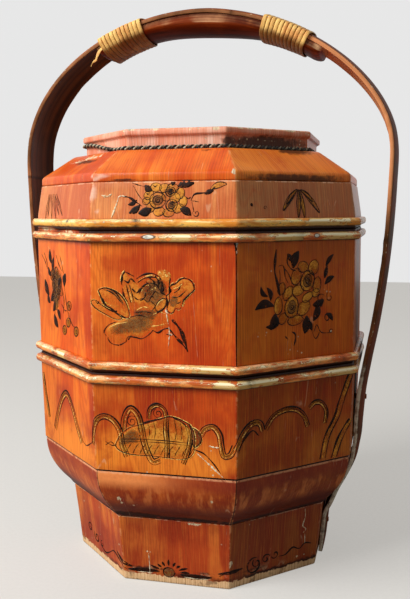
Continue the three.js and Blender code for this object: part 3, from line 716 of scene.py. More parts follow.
def lacquered(name, deep, warm, bright, aged_and_shaded, gloss=0.34, upright=1.0, chips=0.1, grime_and_shade=(0, 0),
              seams_and_shade=(0, 0), lit_edge=0.0, lit_base=0.0, foot=False, bowl=False):
    """Lacquer over wood. Its colours go from the darkest cloud to the lightest streak, and on to the
    yellowed colour of old lacquer, which is also painted shade on the faces towards the front right. At base
    and top, the dark band beside a bead is dirty lacquer and painted shade, and black bands of the given
    heights in millimetres mark the joints and paint the shade in the gaps between beads."""
    s = Shader(name)
    lay = s.attribute("lay")
    to_corner, above_base, below_top = s.parts(s.attribute("near"))
    inside, amber_and_shade, soot_and_shade, scrape, painted_sheen = s.numbers("inside", "amber_and_shade", "soot_and_shade", "scrape", "painted_sheen")
    wide, fine, rings, years = grain_of(s, lay, upright)
    mottle = s.speckle(13, 4, 0.6)
    glaze = s.speckle(38, 4, 0.62)
    rough_edge = s.speckle(210, 3, 0.6)
    s.coat(deep)
    s.coat(warm, wide * 0.35 + mottle.rise(0.38, 0.60) * 0.65)
    s.coat(bright, (mottle * 0.5 + glaze * 0.25 + wide * 0.25).rise(0.48, 0.72) * 0.55)
    # paler patches towards the left end of each face
    paler_left_end = s.parts(lay)[0].rise(-8 * MM, -48 * MM) * mottle.rise(0.30, 0.52)
    s.coat(bright, paler_left_end * (0.15 if bowl else 0.4))
    s.coat(bright, above_base.rise(50 * MM, 12 * MM) * mottle.rise(0.36, 0.56) * lit_base)
    # yellowed old lacquer and painted shade, strongest on the faces towards the front right
    s.coat(aged_and_shaded, amber_and_shade.rise(0.6, 1.0) * 0.62)
    s.coat(deep, glaze.rise(0.54, 0.70) * 0.5)
    s.coat(deep, rings * 0.26)
    s.coat("5c1a08", years * glaze.rise(0.36, 0.58) * (0.05 if bowl else 0.22))
    s.coat(bright, fine.rise(0.50, 0.68) * 0.3)
    s.coat("4a1608", fine.rise(0.47, 0.32) * 0.2)
    s.coat("eeb078", to_corner.rise(1.8 * MM, 0.3 * MM) * rough_edge.rise(0.44, 0.62) * 0.3)
    # A dark band on the wall beside a bead: dirty lacquer, and painted shade where the bead shades the wall.
    beside = above_base.rise(12.5 * MM, 8.8 * MM) * grime_and_shade[0] + below_top.rise(12.5 * MM, 8.8 * MM) * grime_and_shade[1]
    dirt_and_shade = (beside * (0.30 + rough_edge)).rise(0.20, 1.0)
    s.coat(GRIME_AND_SHADE, dirt_and_shade)
    if lit_edge:
        line = below_top.rise(1.3 * MM, 0.9 * MM) * (rough_edge * 0.5 + glaze * 0.5).rise(0.46, 0.56)
        s.coat("f4c8a0", line * lit_edge)
    if bowl:
        bowl_tones(s, lay, above_base, below_top, to_corner, rough_edge)
    # painted sheen: pale pink reflection patches on the lid's front left corner
    s.coat("fbd6be", (painted_sheen * 0.8 + rough_edge * 0.3).rise(0.55, 1.0) * 0.6)
    # Black patches of soot and painted shade under the collar's lip, at the eave and at the moulding's foot.
    soot_and_shade_mask = (soot_and_shade * 0.85 + rough_edge * 0.55 + mottle * 0.2).rise(0.78, 1.08)
    s.coat(GRIME_AND_SHADE, soot_and_shade_mask * 0.88)
    crack = ((s.noise(lay, (26, 3, 1)) - 0.5) * 90) ** 2
    s.coat("f0c49c", crack.rise(0.10, 0.0) * glaze.rise(0.52, 0.62) * 0.28)
    flakes = chips_of(s, chips).most((scrape * 0.5 + rough_edge * 0.62).rise(0.69, 0.74))
    s.coat(s.mix("a8957a", CREAM, fine.rise(0.38, 0.56)), flakes * 0.85)
    rough = gloss + mottle * 0.12 + dirt_and_shade * 0.3 + flakes * 0.3 + soot_and_shade_mask * 0.2
    height = fine * 0.35 + rings * 0.12 - flakes * 0.8
    if foot:
        raw = raw_wood(s, fine, mottle, rough_edge, above_base)
        rough = rough + raw * 0.4
        height = height - raw * 1.2
    # Black bands at the joints; the wider ones also paint the shade in the gaps between beads.
    for side, tall in zip((above_base, below_top), seams_and_shade):
        if tall:
            seam_and_shade = side.rise(tall * MM, 0.6 * tall * MM) * (1 - scrape.rise(0.3, 0.6))
            s.coat(SEAM_AND_SHADE_BLACK, seam_and_shade * 0.93)
    s.coat(INNER_LACQUER, inside * 0.92)
    return s.finish(rough, s.bump(height, 0.22 * MM, 0.5), **LACQUER_GLOSS)


wall_lacquer = lacquered(
    "wall_lacquer", "b2330a", "ea5e16", "ff9030", "b8640a", grime_and_shade=(0.6, 0.7), seams_and_shade=(2.6, 2.6))
lower_lacquer = lacquered(
    "lower_lacquer", "a8300a", "de5614", "fc902c", "763a0a", grime_and_shade=(0, 0.7), seams_and_shade=(0.9, 2.6), lit_base=0.8)
foot_lacquer = lacquered(
    "foot_lacquer", "962a10", "cc501e", "f08c36", "481a0a", chips=0.14, lit_edge=0.35, foot=True)
roof_lacquer = lacquered(
    "roof_lacquer", "c84210", "ea6416", "fa963a", "ec8c34", gloss=0.28, chips=0.06)
lid_lacquer = lacquered(
    "lid_wall_lacquer", "bc5428", "e27e46", "faae64", "94643e", gloss=0.28, chips=0.07, grime_and_shade=(0.6, 0),
    seams_and_shade=(2.6, 0), lit_edge=0.6)
# The collar's pale pink lacquer is partly its own colour and partly painted light on its glossy lip, which
# faces up.
collar_lacquer = lacquered(
    "collar_lacquer", "e07c56", "fab494", "ffe8d4", "b4643a", gloss=0.3, chips=0.24, lit_edge=0.6)
moulding_lacquer = lacquered(
    "moulding_lacquer", "90280a", "c45018", "e4782e", "54280a", upright=5.0, chips=0.12, seams_and_shade=(0, 0.9),
    bowl=True)
print("lacquers:", [m.name for m in bpy.data.materials])

# %% [markdown]
# ## The mitred boards
# Forty boards make the five rings: foot, lower wall, middle wall, lid wall and roof. Each is a mesh of its
# own, so it ends on the mitre as a real board does. At one corner of the middle tier the joint has opened.

# %% Boards
CRACK = 0.5 * MM
CRACKED = {"middle_tier_panel_front": (0, CRACK), "middle_tier_panel_front_right": (CRACK, 0)}
BOARD_RINGS = (
    ("foot_panel", foot_ring, foot_lacquer, "base", "wall_lacquer"),
    ("bottom_tier_panel", bottom_ring, lower_lacquer, "base", "wall_lacquer"),
    ("middle_tier_panel", middle_ring, wall_lacquer, "middle_tier", "wall_lacquer"),
    ("lid_wall_panel", lid_wall_ring, lid_lacquer, "lid", "lid_lacquer"),
    ("lid_roof_panel", roof_ring, roof_lacquer, "lid", "lid_lacquer"))
boards = []
for prefix, ring, *finish in BOARD_RINGS:
    for index, face in enumerate(FACES):
        name = f"{prefix}_{face}"
        boards.append(board(name, ring, index, *finish, CRACKED.get(name, (0, 0))))
print("boards:", len(boards), "with", sum(len(b.data.polygons) for b in boards), "faces")

# %% [markdown]
# ## Moulding, collar and the plain wood inside
# The bowl-shaped moulding and the collar run round in one piece. Bare wood shows only where the storeys
# part: the two tongues that guide them, and the floor boards.

# %% Whole rings
TONGUE_THICKNESS = 5 * MM


def wooden(name, dark, light):
    """Unlacquered softwood, greyed by handling."""
    s = Shader(name)
    wide, fine, rings, _ = grain_of(s, s.attribute("lay"))
    s.coat(dark)
    s.coat(light, wide * 0.5 + fine * 0.5)
    s.coat(dark, rings * 0.45)
    s.coat("5b4630", s.speckle(30, 4).rise(0.5, 0.75) * 0.5)
    return s.finish(0.62 + fine * 0.25, s.bump(fine * 0.5 + rings * 0.3, 0.25 * MM, 0.6))


def slab_ring(node):
    """A solid octagonal board: its outline runs from the middle of its underside out and back to the middle
    of its top."""
    box = ring_box(node)
    ring = make_ring(upright(0, box), (0, 1, 1, 0), step=9)
    out, height = ring.outline.T
    between = (out < 1e-7) & (height > box.base + 1e-7) & (height < box.top - 1e-7)
    ring.outline = ring.outline[~between]
    ring.skin = ring.inside = np.zeros(len(ring.outline))
    ring.corner = np.minimum(2 * MM, 0.4 * ring.outline[:, 0])
    ring.solid = True
    return ring


def tongue_ring(node):
    box = ring_box(node)
    section = upright(box.outer - TONGUE_THICKNESS, box)
    return make_ring(section, (0.5, 0.5, 1.4, 1.2), corner=2, wavy=False)


bare_wood = wooden("bare_wood", "a57c4b", "d9b67e")
WHOLE_RINGS = (
    ("bottom_tier_moulding", moulding_ring, moulding_lacquer, "base", "moulding_lacquer"),
    ("lid_collar", collar_ring, collar_lacquer, "lid", "lid_lacquer"),
    ("bottom_tier_tongue", tongue_ring("bottom_tier_tongue"), bare_wood, "base", "bare_wood"),
    ("middle_tier_tongue", tongue_ring("middle_tier_tongue"), bare_wood, "middle_tier", "bare_wood"),
    ("bottom_tier_floor", slab_ring("bottom_tier_floor"), bare_wood, "base", "bare_wood"),
    ("middle_tier_floor", slab_ring("middle_tier_floor"), bare_wood, "middle_tier", "bare_wood"),
    ("lid_top_board", slab_ring("lid_top_board"), roof_lacquer, "lid", "lid_lacquer"))
print("whole rings:", [whole_ring(*row).name for row in WHOLE_RINGS])

# %% [markdown]
# ## Cane beads
# Four half-round canes hide the joints between the storeys. They were lacquered too, but hands have worn
# them down to the pale cane. The big bare patches sit where they do on the real basket, and a broad noise
# spreads smaller ones. A cane keeps its nodes, which stand up as slight rings.

# %% Cane beads
BEAD_NODE = SimpleNamespace(height=0.35 * MM, width=2.2 * MM, spacing=236 * MM)
BEAD_BULGE = 2.6 * MM
BEAD_CORNER = SimpleNamespace(least=0.3 * MM, share=1.35)
WALL = bottom_box.outer
SIDE_LENGTH = 2 * TAN_HALF * WALL
PATCH_EDGE = 7 * MM / SIDE_LENGTH
CANE_GLOSS = {"Specular_IOR_Level": 0.20, "Coat_Weight": 0.08, "Coat_Roughness": 0.1}


def bead_ring(node):
    """A half-round section: apothem = edge + bulge * cos(angle), height = middle + half height * sin(angle).
    Its corners bend round the wall's corner, so their radius grows with the distance to the wall."""
    box = ring_box(node)
    middle, half = (box.base + box.top) / 2, (box.top - box.base) / 2
    edge = box.outer - BEAD_NODE.height - BEAD_BULGE
    angle = np.linspace(-math.pi / 2, math.pi / 2, 13)
    arc = zip(edge + BEAD_BULGE * np.cos(angle), middle + half * np.sin(angle))
    corners = [(WALL + FIT, middle - half), *arc, (WALL + FIT, middle + half)]
    ring = make_ring(corners, 0.12, corner=0, step=3, wavy=False)
    ring.corner = np.maximum(BEAD_CORNER.least, ring.outline[:, 0] - WALL) * BEAD_CORNER.share
    return ring


def patches(*spans):
    """How bare the cane is at a place round the basket: 1 inside the given spans, as (face, from, to) in
    millimetres, and falling off beyond them."""
    def bare(lay):
        around = lay[..., 0] / SIDE_LENGTH
        value = np.zeros(around.shape)
        for face, start, end in spans:
            a, b = [FACES.index(face) + place / (SIDE_LENGTH / MM) for place in (start, end)]
            inside = ease(around, a - PATCH_EDGE, a + PATCH_EDGE) * (
                1 - ease(around, b - PATCH_EDGE, b + PATCH_EDGE))
            value = np.maximum(value, inside)
        return value
    return bare


def cane(name, deep, warm, pale, bareness):
    """Cane with lacquer left on it: fibres run along it, its crest is rubbed pale and carries a painted
    highlight, a thin painted highlight runs along its upper rim, its lower half is darkened by dirty lacquer
    and painted shade, and bare patches end in ragged edges."""
    s = Shader(name)
    lay = s.attribute("lay")
    bare, low, crest, node, rim_line, scrape = s.numbers("bare", "low", "crest", "node", "rim", "scrape")
    fibre = s.noise(lay, (30, 1100, 3.7), 3, 0.6)
    broad = s.noise(lay, (34, 150, 3.7), 4, 0.65)
    spots = s.noise(lay, (170, 420, 3.7), 4, 0.68)
    worn = bare * 0.16 + spots * 0.80 + broad * 0.30 + crest * 0.04
    chip = worn.rise(bareness, bareness + 0.02)
    cream = s.mix("dcae62", "fff2c6", (fibre * 0.6 + crest * 0.4).rise(0.30, 0.56))
    around = worn.rise(bareness - 0.05, bareness - 0.01) * (1 - chip)
    # dirty lacquer and painted shade on the lower half of the bead
    dirt_and_shade = (low * 0.72 + spots * 0.5).rise(0.62, 1.0)
    s.coat(deep)
    s.coat(warm, broad.rise(0.40, 0.58))
    s.coat(pale, (fibre * 0.5 + spots * 0.5).rise(0.50, 0.66) * 0.35)
    # painted highlight, with wear, along the crest
    s.coat(pale, crest * (fibre * 0.3 + broad * 0.7).rise(0.42, 0.56) * 0.9)
    # painted highlight along the upper rim
    s.coat("f6d8b6", rim_line * broad.rise(0.46, 0.56) * 0.6)
    s.coat(cream, chip)
    s.coat("5a1e0c", around * 0.5)
    s.coat("1c0f08", dirt_and_shade * 0.9)
    s.coat("24150c", node * spots.rise(0.38, 0.52) * 0.9)
    s.coat("3c1c10", scrape.rise(0.30, 0.42) * 0.8)
    s.coat(s.mix("a09c90", "e8e4d2", spots.rise(0.4, 0.6)), scrape.rise(0.50, 0.60))
    normal = s.bump(fibre * 0.4 - chip * 0.8, 0.25 * MM, 0.6)
    return s.finish(0.32 + chip * 0.3 + dirt_and_shade * 0.3, normal, **CANE_GLOSS)


def make_bead(node, body, material, bare, node_offset):
    """The bead's ring, with its cane's nodes raised at even distances round the basket. The crest and the
    rim are bell curves of the height, exp(-distance ** 2)."""
    ring = bead_ring(node)
    middle, half = (ring.base + ring.top) / 2, (ring.top - ring.base) / 2

    def knot(lay):
        around = (lay[..., 0] + node_offset) / BEAD_NODE.spacing
        return np.exp(-((around - np.round(around)) * BEAD_NODE.spacing / BEAD_NODE.width) ** 2)

    # The lower half, which the cane darkens as dirty lacquer and painted shade.
    def low(lay):
        return ease(lay[..., 1], middle - 0.2 * half, middle - 1.0 * half)

    def bell(share, width):
        return lambda lay: np.exp(-((lay[..., 1] - middle - share * half) / (width * half)) ** 2)

    extra = {"bare": bare, "node": knot, "low": low, "crest": bell(0.45, 0.26), "rim": bell(0.88, 0.13)}
    return whole_ring(
        node, ring, material, body, "cane_bead", extra, lambda lay: BEAD_NODE.height * knot(lay))


golden_cane = cane("golden_cane", "de862a", "ffbe54", "fff4b0", 0.66)
red_cane = cane("red_cane", "c45a1e", "ffa04c", "ffecb0", 0.63)
beads = [
    make_bead("lid_bead", "lid", golden_cane, patches(("front_right", 10, 56)), 20 * MM),
    make_bead("middle_tier_top_bead", "middle_tier", red_cane,
              patches(("front", 8, 26), ("front_right", -22, 6), ("front_right", 26, 60)), 110 * MM),
    make_bead("middle_tier_bottom_bead", "middle_tier", red_cane,
              patches(("front", 34, 60), ("front_left", 20, 40)), 60 * MM),
    make_bead("bottom_tier_rim_bead", "base", red_cane,
              patches(("front", 44, 62), ("front_right", -62, -18), ("front_right", 34, 62)), 160 * MM)]
print("beads:", [b.name for b in beads])

# %% [markdown]
# ## Brushwork
# The flowers, ribbons and leaves were painted freehand, in black and in a dull gold that has rubbed thin.
# They could be drawn by the lacquer's material, but a brush line keeps its crisp edge at any distance as a
# mesh. So each stroke is a very thin closed body that lies on the board's own surface. A painting is planned
# in millimetres on its face, measured from the face's middle, and then laid on the boards. Its points are
# written as x,y with a slash between one stroke and the next.

# %% Strokes on a face
INK, GOLD, PALE, PUTTY, SHADE, OLIVE, RIM, PETAL = range(8)
LIFT = np.array([0.20, 0.11, 0.24, 0.30, 0.15, 0.13, 0.17, 0.11]) * MM
SUNK = 0.22 * MM
FRINGE = 0.9
WHOLE_FORM = 44


def on_skin(ring, index, along, height, lift):
    """World points on a ring's outer skin. Past a corner, a place along one face goes on to the next."""
    out = np.interp(height, ring.heights, ring.outs)
    side = 2 * TAN_HALF * out
    step = np.round(along / side)
    along = along - step * side
    flat = (out - ring.corner) * TAN_HALF
    phi = np.arcsin(np.clip((np.abs(along) - flat) / ring.corner, 0, math.sin(HALF)))
    out = out - ring.corner * (1 - np.cos(phi))
    turn = np.sign(along) * phi
    face = index + step
    ground = to_world(face, along, out, height, turn, 0)
    raised = uneven(ground[..., 0], ground[..., 1], height) + lift
    return to_world(face, along, out, height, turn, raised)


def closed_spline(p, samples):
    """A closed curve: the open spline over three rounds of the points, of which the middle one is kept."""
    three = spline(np.vstack([p, p, p, p[:1]]), 3 * samples + 1)
    return three[samples:2 * samples]


def rows_of(text):
    """Rows of numbers from a text: slashes part the rows, and blanks or commas part the numbers."""
    return [np.array(row.replace(",", " ").split(), float) for row in text.split("/")]


def curves(points):
    """Arrays of (x, y), from one array of points or from a text such as "x,y x,y / x,y x,y"."""
    if isinstance(points, str):
        return [row.reshape(-1, 2) for row in rows_of(points)]
    return [np.array(points, float)]


def turned_left(vectors):
    return stacked(-vectors[..., 1], vectors[..., 0])


def full_turn(steps):
    return np.linspace(0, 2 * math.pi, steps, endpoint=False)


def round_points(radius, angle):
    return stacked(radius * np.cos(angle), radius * np.sin(angle))


class Painting:
    """The strokes of one face. Lengths are in millimetres, and (0, 0) is the middle of the face."""

    def __init__(self, ring, face, mirror):
        self.ring = ring
        self.index = FACES.index(face)
        self.middle = (ring.base + ring.top) / 2
        self.mirror = mirror
        self.bodies = []

    def body(self, flat, lift, faces, tint, full=1.0):
        """Keeps one closed body's points on the board, its faces, its tint and how full the tint is."""
        along, up = flat[..., 0] * MM * self.mirror, self.middle + flat[..., 1] * MM
        points = on_skin(self.ring, self.index, along, up, lift)
        full = np.broadcast_to(full, points.shape[:-1]).ravel()
        self.bodies.append((points.reshape(-1, 3), faces, tint, full))

    def line(self, points, width=1.1, tint=INK, start=0.25, end=0.25, samples=0):
        for p in curves(points):
            self.stroke(p, width, tint, start, end, samples or 5 * len(p))

    def stroke(self, p, width, tint, start, end, samples):
        """A stroke along a smooth curve. Its half width swells from the start's share to the full width
        with the sine of the way, and falls to the end's share again."""
        middle = spline(p, samples)
        normal = turned_left(unit(np.gradient(middle, axis=0)))
        t = np.linspace(0, 1, samples)
        swell = np.sin(math.pi * t) ** 0.5
        ends = start * (1 - t) + end * t
        hand = 0.8 + 0.35 * np.sin(11 * t + 3 * width + p[0, 0])
        ragged = 0.4 * np.sin(61 * t + p[0, 1]) * (tint == PALE)
        half = width / 2 * (ends + (1 - ends) * swell) * (hand + ragged)
        section = np.array([-1, -0.75, 0, 0.75, 1, 0])
        depth = np.array([-SUNK, LIFT[tint], LIFT[tint] * 1.15, LIFT[tint], -SUNK, -2 * SUNK])
        flat = middle[:, None] + normal[:, None] * (half[:, None] * section)[..., None]
        self.body(flat, depth, tube_faces(flat), tint)

    def shape(self, points, tint=GOLD, outline=1.0, samples=WHOLE_FORM):
        """A filled form round its middle: place = middle + share * (edge - middle), where the edge is a
        smooth closed curve. Its rim dips below the skin. Shade thins out towards the edge. A thin bright
        line runs just outside the outline of a large form."""
        share = np.array([0.0, 0.5, 0.9, 1.0, 0.5, 0.0])
        depth = np.array([LIFT[tint]] * 3 + [-SUNK, -2 * SUNK, -2 * SUNK])
        full = np.array([1, 1, 0.3, 0, 0, 0.0])[:, None] if tint == SHADE and not outline else 1.0
        for p in curves(points):
            edge = closed_spline(p, samples)
            away = edge - edge.mean(axis=0)
            flat = edge.mean(axis=0) + share[:, None, None] * away
            self.body(flat, depth[:, None], grid_faces(flat), tint, full)
            if outline:
                self.line(np.vstack([edge[::3], edge[:1]]), outline, INK, 0.6, 0.6, 2 * samples)
            if outline and samples >= WHOLE_FORM:
                fringe = edge + FRINGE * unit(away)
                self.line(np.vstack([fringe[::3], fringe[:1]]), 0.8, RIM, 0.6, 0.6, 2 * samples)

    def leaf(self, base, tip, width, bend=0.0, tint=INK, outline=0.0):
        """A pointed form from base to tip, whose middle is pushed sideways by the bend."""
        base = np.array(base, float)
        way = np.array(tip, float) - base
        side = turned_left(unit(way))
        t = np.linspace(0, 1, 6)
        middle = base + way * t[:, None] + side * (bend * 4 * t * (1 - t))[:, None]
        half = side * (width / 2 * np.sin(math.pi * np.clip(t, 0.02, 0.98)) ** 0.8)[:, None]
        self.shape(np.vstack([middle + half, (middle - half)[::-1]]), tint, outline, samples=30)

    def leaves(self, text, bend=0.0):
        """Rows of base, tip and width, each with a bend of its own or the one for all."""
        for x, y, tip_x, tip_y, width, *own in rows_of(text):
            self.leaf((x, y), (tip_x, tip_y), width, *(own or [bend]))

    def oval(self, centre, long, short, turn=0.0, tint=GOLD, outline=0.7):
        """A petal: an ellipse whose long half axis is turned by an angle."""
        a = full_turn(8)
        x, y = long * np.cos(a), short * np.sin(a) * (1 + 0.12 * np.cos(3 * a))
        turned = stacked(x * math.cos(turn) - y * math.sin(turn), x * math.sin(turn) + y * math.cos(turn))
        self.shape(centre + turned, tint, outline, samples=24)

    def ovals(self, text, outline):
        for x, y, long, short, turn in rows_of(text):
            self.oval((x, y), long, short, turn, GOLD, outline)

    def curl(self, centre, radius, turns=1.5, start=0.0, width=0.9, inner=0.15):
        """A spiral line: the radius shrinks evenly with the angle."""
        a = np.linspace(0, 2 * math.pi * turns, int(10 * turns) + 3)
        self.line(centre + round_points(radius * (1 - (1 - inner) * a / a[-1]), a + start), width)

    def curls(self, text):
        """Rows of centre, radius, turns, start and width."""
        for x, y, *rest in rows_of(text):
            self.curl((x, y), *rest)

    def ribbon(self, points, width=4.2):
        """A flat ribbon: a dull wash and a bright streak between two black lines, one heavy and one light,
        and a fine line inside."""
        for p in curves(points):
            middle = spline(p, 4 * len(p))
            normal = turned_left(unit(np.gradient(middle, axis=0)))
            for place, wide, tint in ((0, 0.9 * width, OLIVE), (-0.24, 0.16 * width, RIM), (0.12, 0.7, INK),
                                      (0.5, 1.8, INK), (-0.5, 1.0, INK)):
                self.line(middle + place * width * normal, wide, tint, 0.4, 0.4, 6 * len(p))


def painted(name, paintings, body, slot):
    """All strokes of a storey in one piece. Point attributes keep the tint of each, and how full it is."""
    points, faces, tints, fulls, count = [], [], [], [], 0
    for place, quads, tint, full in [stroke for painting in paintings for stroke in painting.bodies]:
        points.append(place)
        faces.extend([[i + count for i in quad] for quad in quads])
        tints.append(np.full(len(place), tint))
        fulls.append(full)
        count += len(place)
    attributes = {"tint": np.concatenate(tints), "full": np.concatenate(fulls)}
    return new_piece(name, np.vstack(points), faces, brushwork, body, slot, (), attributes)


PIGMENTS = {
    INK: ("0c0503", "2e1408"), GOLD: ("b06418", "f2a63e"), PALE: ("d2a878", "f0e2c0"),
    PUTTY: ("6d675c", "a39c8c"), SHADE: ("3e2210", "8a5c32"), OLIVE: ("6a3c10", "bc7622"),
    RIM: ("dc9830", "ffd478"), PETAL: ("cc6616", "faa03a")}


def brushwork_material():
    """Each pigment is switched on at its own number of the tint attribute. Ink wears off in spots, gold
    thins to a wash, and the shade is a fine stipple, so that the lacquer shows through them all."""
    s = Shader("brushwork")
    tint, full = s.numbers("tint", "full")
    wide, broad, fine = s.speckle(60, 3, 0.6), s.speckle(150, 4, 0.65), s.speckle(700, 3, 0.6)
    patchy = (wide * 0.5 + fine * 0.5).rise(0.40, 0.58)
    strong = broad * 0.5 + fine * 0.5
    kept = {number: strong.rise(bare, bare + 0.1)
            for number, bare in ((INK, 0.355), (PALE, 0.38), (PUTTY, 0.30), (RIM, 0.42))}
    kept[GOLD] = 0.26 + wide.rise(0.38, 0.62) * 0.48
    kept[OLIVE] = 0.22 + wide.rise(0.36, 0.60) * 0.45
    kept[PETAL] = 0.18 + wide.rise(0.40, 0.62) * 0.46
    spread = (full * 0.8 + fine * 0.5).rise(0.35, 0.95)
    kept[SHADE] = spread * (0.3 + fine.rise(0.42, 0.58) * wide.rise(0.30, 0.45) * 0.55)
    alpha = 0
    for number, (dark, light) in PIGMENTS.items():
        reached = tint.rise(number - 0.6, number - 0.4)
        s.coat(s.mix(dark, light, patchy), reached)
        alpha = alpha + reached * tint.rise(number + 0.6, number + 0.4) * kept[number]
    return s.finish(
        0.42 + fine * 0.2, s.bump(fine, 0.1 * MM, 0.4), Alpha=alpha, Specular_IOR_Level=0.10)


brushwork = brushwork_material()
print("brushwork ready")

# %% [markdown]
# ## The middle tier's paintings
# The front shows a big gold peony with black outlines, and the faces beside it sprays of small flowers among
# black leaves. The faces that the strap crosses are bare, and the back repeats the designs mirrored.

# %% Peony and sprays


def peony(p):
    """Petals from the outside in, with the outlined ones first, then shade, the heart's dark folds, bright
    edges, and the stalk's two black leaves."""
    p.shape("-62,0 -59,2 -53,-2 -46,-6 -40,-9 -35,-13 -40,-14 -49,-10 -58,-5", PETAL, 1.1, samples=64)
    p.shape("""
        -55,10 -50,12 -44,11 -38,8 -33,3 -29,-6 -29,-12 -35,-12 -39,-9 -44,-5 -50,-2
        -53,4""", PETAL, 1.4, samples=64)
    p.shape("""
        6,3 7,15 12,17 15,20 19,21 23,20 26,17 27,12 23,8 18,3 17,0 15,-4 11,-4 8,-8
        4,-5""", PETAL, 1.2, samples=64)
    p.shape("""
        -51,-26 -48,-20 -41,-16 -33,-13 -24,-10 -12,-9 0,-8 7,-9 6,-19 1,-20 -4,-23 -9,-22 -13,-25
        -18,-29 -24,-28 -30,-28 -31,-32 -39,-35 -44,-34 -47,-30 /
        -35,18 -34,23 -32,26 -29,23 -25,22 -23,19 -21,9 -23,0 -28,-4 -32,6 -34,12 /
        -4,27 3,28 8,24 6,16 2,12 -3,19 /
        -24,4 -24,13 -22,20 -16,23 -8,24 -2,22 3,12 4,0 -3,-9 -15,-11 -24,-9 -28,-4""", PETAL, 0, samples=64)
    p.shape("""
        -48,-21 -36,-15 -22,-9 -6,-8 -6,-18 -16,-25 -30,-26 -46,-27 /
        -40,-20 -28,-14 -14,-12 -12,-18 -24,-22 / -20,8 -17,15 -10,21 -2,20 3,10 2,1 -5,-4 -15,0 /
        -14,8 -10,17 -2,19 1,10 -4,4 / -50,12 -42,10 -36,5 -31,-4 -36,0 -41,6 -46,9 /
        -26,-6 -14,-5 -2,-6 -6,-13 -24,-13 / -3,22 2,18 5,8 0,6 -3,14 /
        6,4 10,8 14,4 11,-3 6,-2""", SHADE, 0, samples=30)
    p.oval((-1, -1), 6.4, 3.6, 0.9, PETAL, 1.3)
    p.line("""
        -26,12 -22,8.5 -19,11 -16,15 / 7,21 6,13 7,10 3,6 / 3,7 4,1 1,-4 -5,-8 / -2,22 0,16 -1,10 3,7 /
        -35,15 -34,22 -32,26 / -6,23 -3,18 -3,13 / -1,19 1,13 -1,8""", 2.6)
    p.line("""
        26,17 27,12 23,8 18,3 17,0 / 7,15 12,17 15,20 19,22 / -46,-4 -42,-7 -39,-7 /
        -33,19 -29,17 -27,20 -23,17 / -55,9 -52,3 -48,-3 / -9,-22 -4,-24 1,-21 6,-20 /
        -22,20 -16,23.5 -8,24.5 -2,22 / -20,7 -17,13 -12,16.5 -5,15.5 -2,11 / -11,21 -7,18 -7,13 /
        -34,12 -33,6 -30,1 / -9,5 -6,10 -3,8 / -19,2 -15,5 -14,9""", 2.0)
    p.line("""
        -40,-16 -47,-19 -51,-25 -47,-30 / -48,-30 -45,-34 -38,-35.5 -31,-32 /
        -32,-33 -30,-28.5 -24,-28.5 -18,-29.5 -12,-26 -8,-22 / -32,26 -28,24 -24,22 /
        -21,17 -15,20.5 -7,21.6 -2,19 / -16,4 -12,1 -9,6 -6,3 / -31,16 -29,7 -27,0 / -28,15 -26,8 -24,0 /
        -25,6 -21,3 -17,4 / -51,11 -43,8 -36,1 / -47,12 -40,8 -34,0 / -58,1 -56,-1 -55,1 /
        -38,-9 -33,-12 -28,-13 / 10,9 14,12 16,17 / 9,5 14,6 20,11 / 12,0 16,2 / -24,-8 -16,-7 -8,-8 /
        -30,-31 -27,-27 / 3,-25 8,-26 / 16,-31 19,-31 / -14,18 -10,14 -13,10 / -10,2 -6,-2 -9,-6 /
        -28,-12 -20,-10 -12,-12""", 1.3)
    p.line("""
        -20,18.5 -14,22 -7,23 -3,20.5 / -18,9 -15,14 -11,15 / -13,18 -10,18.6 -8,17 /
        -3,20 -2,26 1,22 2,28 4,22 6,26 6,19 / -36,17 -35,23 -32,27.5 / -52,4 -49,0 -44,-3 /
        9,12 14,14 19,18 / -46,-21 -40,-18 -30,-16 / -10,-19 -3,-18 4,-16 / -8,-9 -2,-7 4,-9 /
        -29,12 -27,6 -26,0 / 14,-5 18,-1 19,3 / -5,-3 -2,2 2,4 / -9,11 -6,13 -5,10 /
        -22,-6 -16,-3 -10,-5""", 1.2, tint=RIM)
    p.line("8,-13 12,-17 16,-23 19,-31 21,-39", 4.0, start=0.3, end=0.5)
    p.line("6,-21 11,-27 16,-32 20,-37", 2.8, start=0.3, end=0.5)
    p.line("3.3,-4 4,-12 5.6,-20 5.8,-26 4.5,-37", 1.0, PALE, start=0.3, samples=40)
    p.line("4.6,-23.5 8.4,-26 / 2.6,-5 4.8,-8", 2.4, tint=PALE)


def rosette(p, centre, long, short, turn):
    """An open flower: two rings and a dark whorled heart."""
    p.oval(centre, long, short, turn, GOLD, 1.2)
    p.oval(centre, 0.62 * long, 0.60 * short, turn, SHADE, 1.0)
    p.curl(centre, 0.42 * short, 1.6, turn, 1.3)


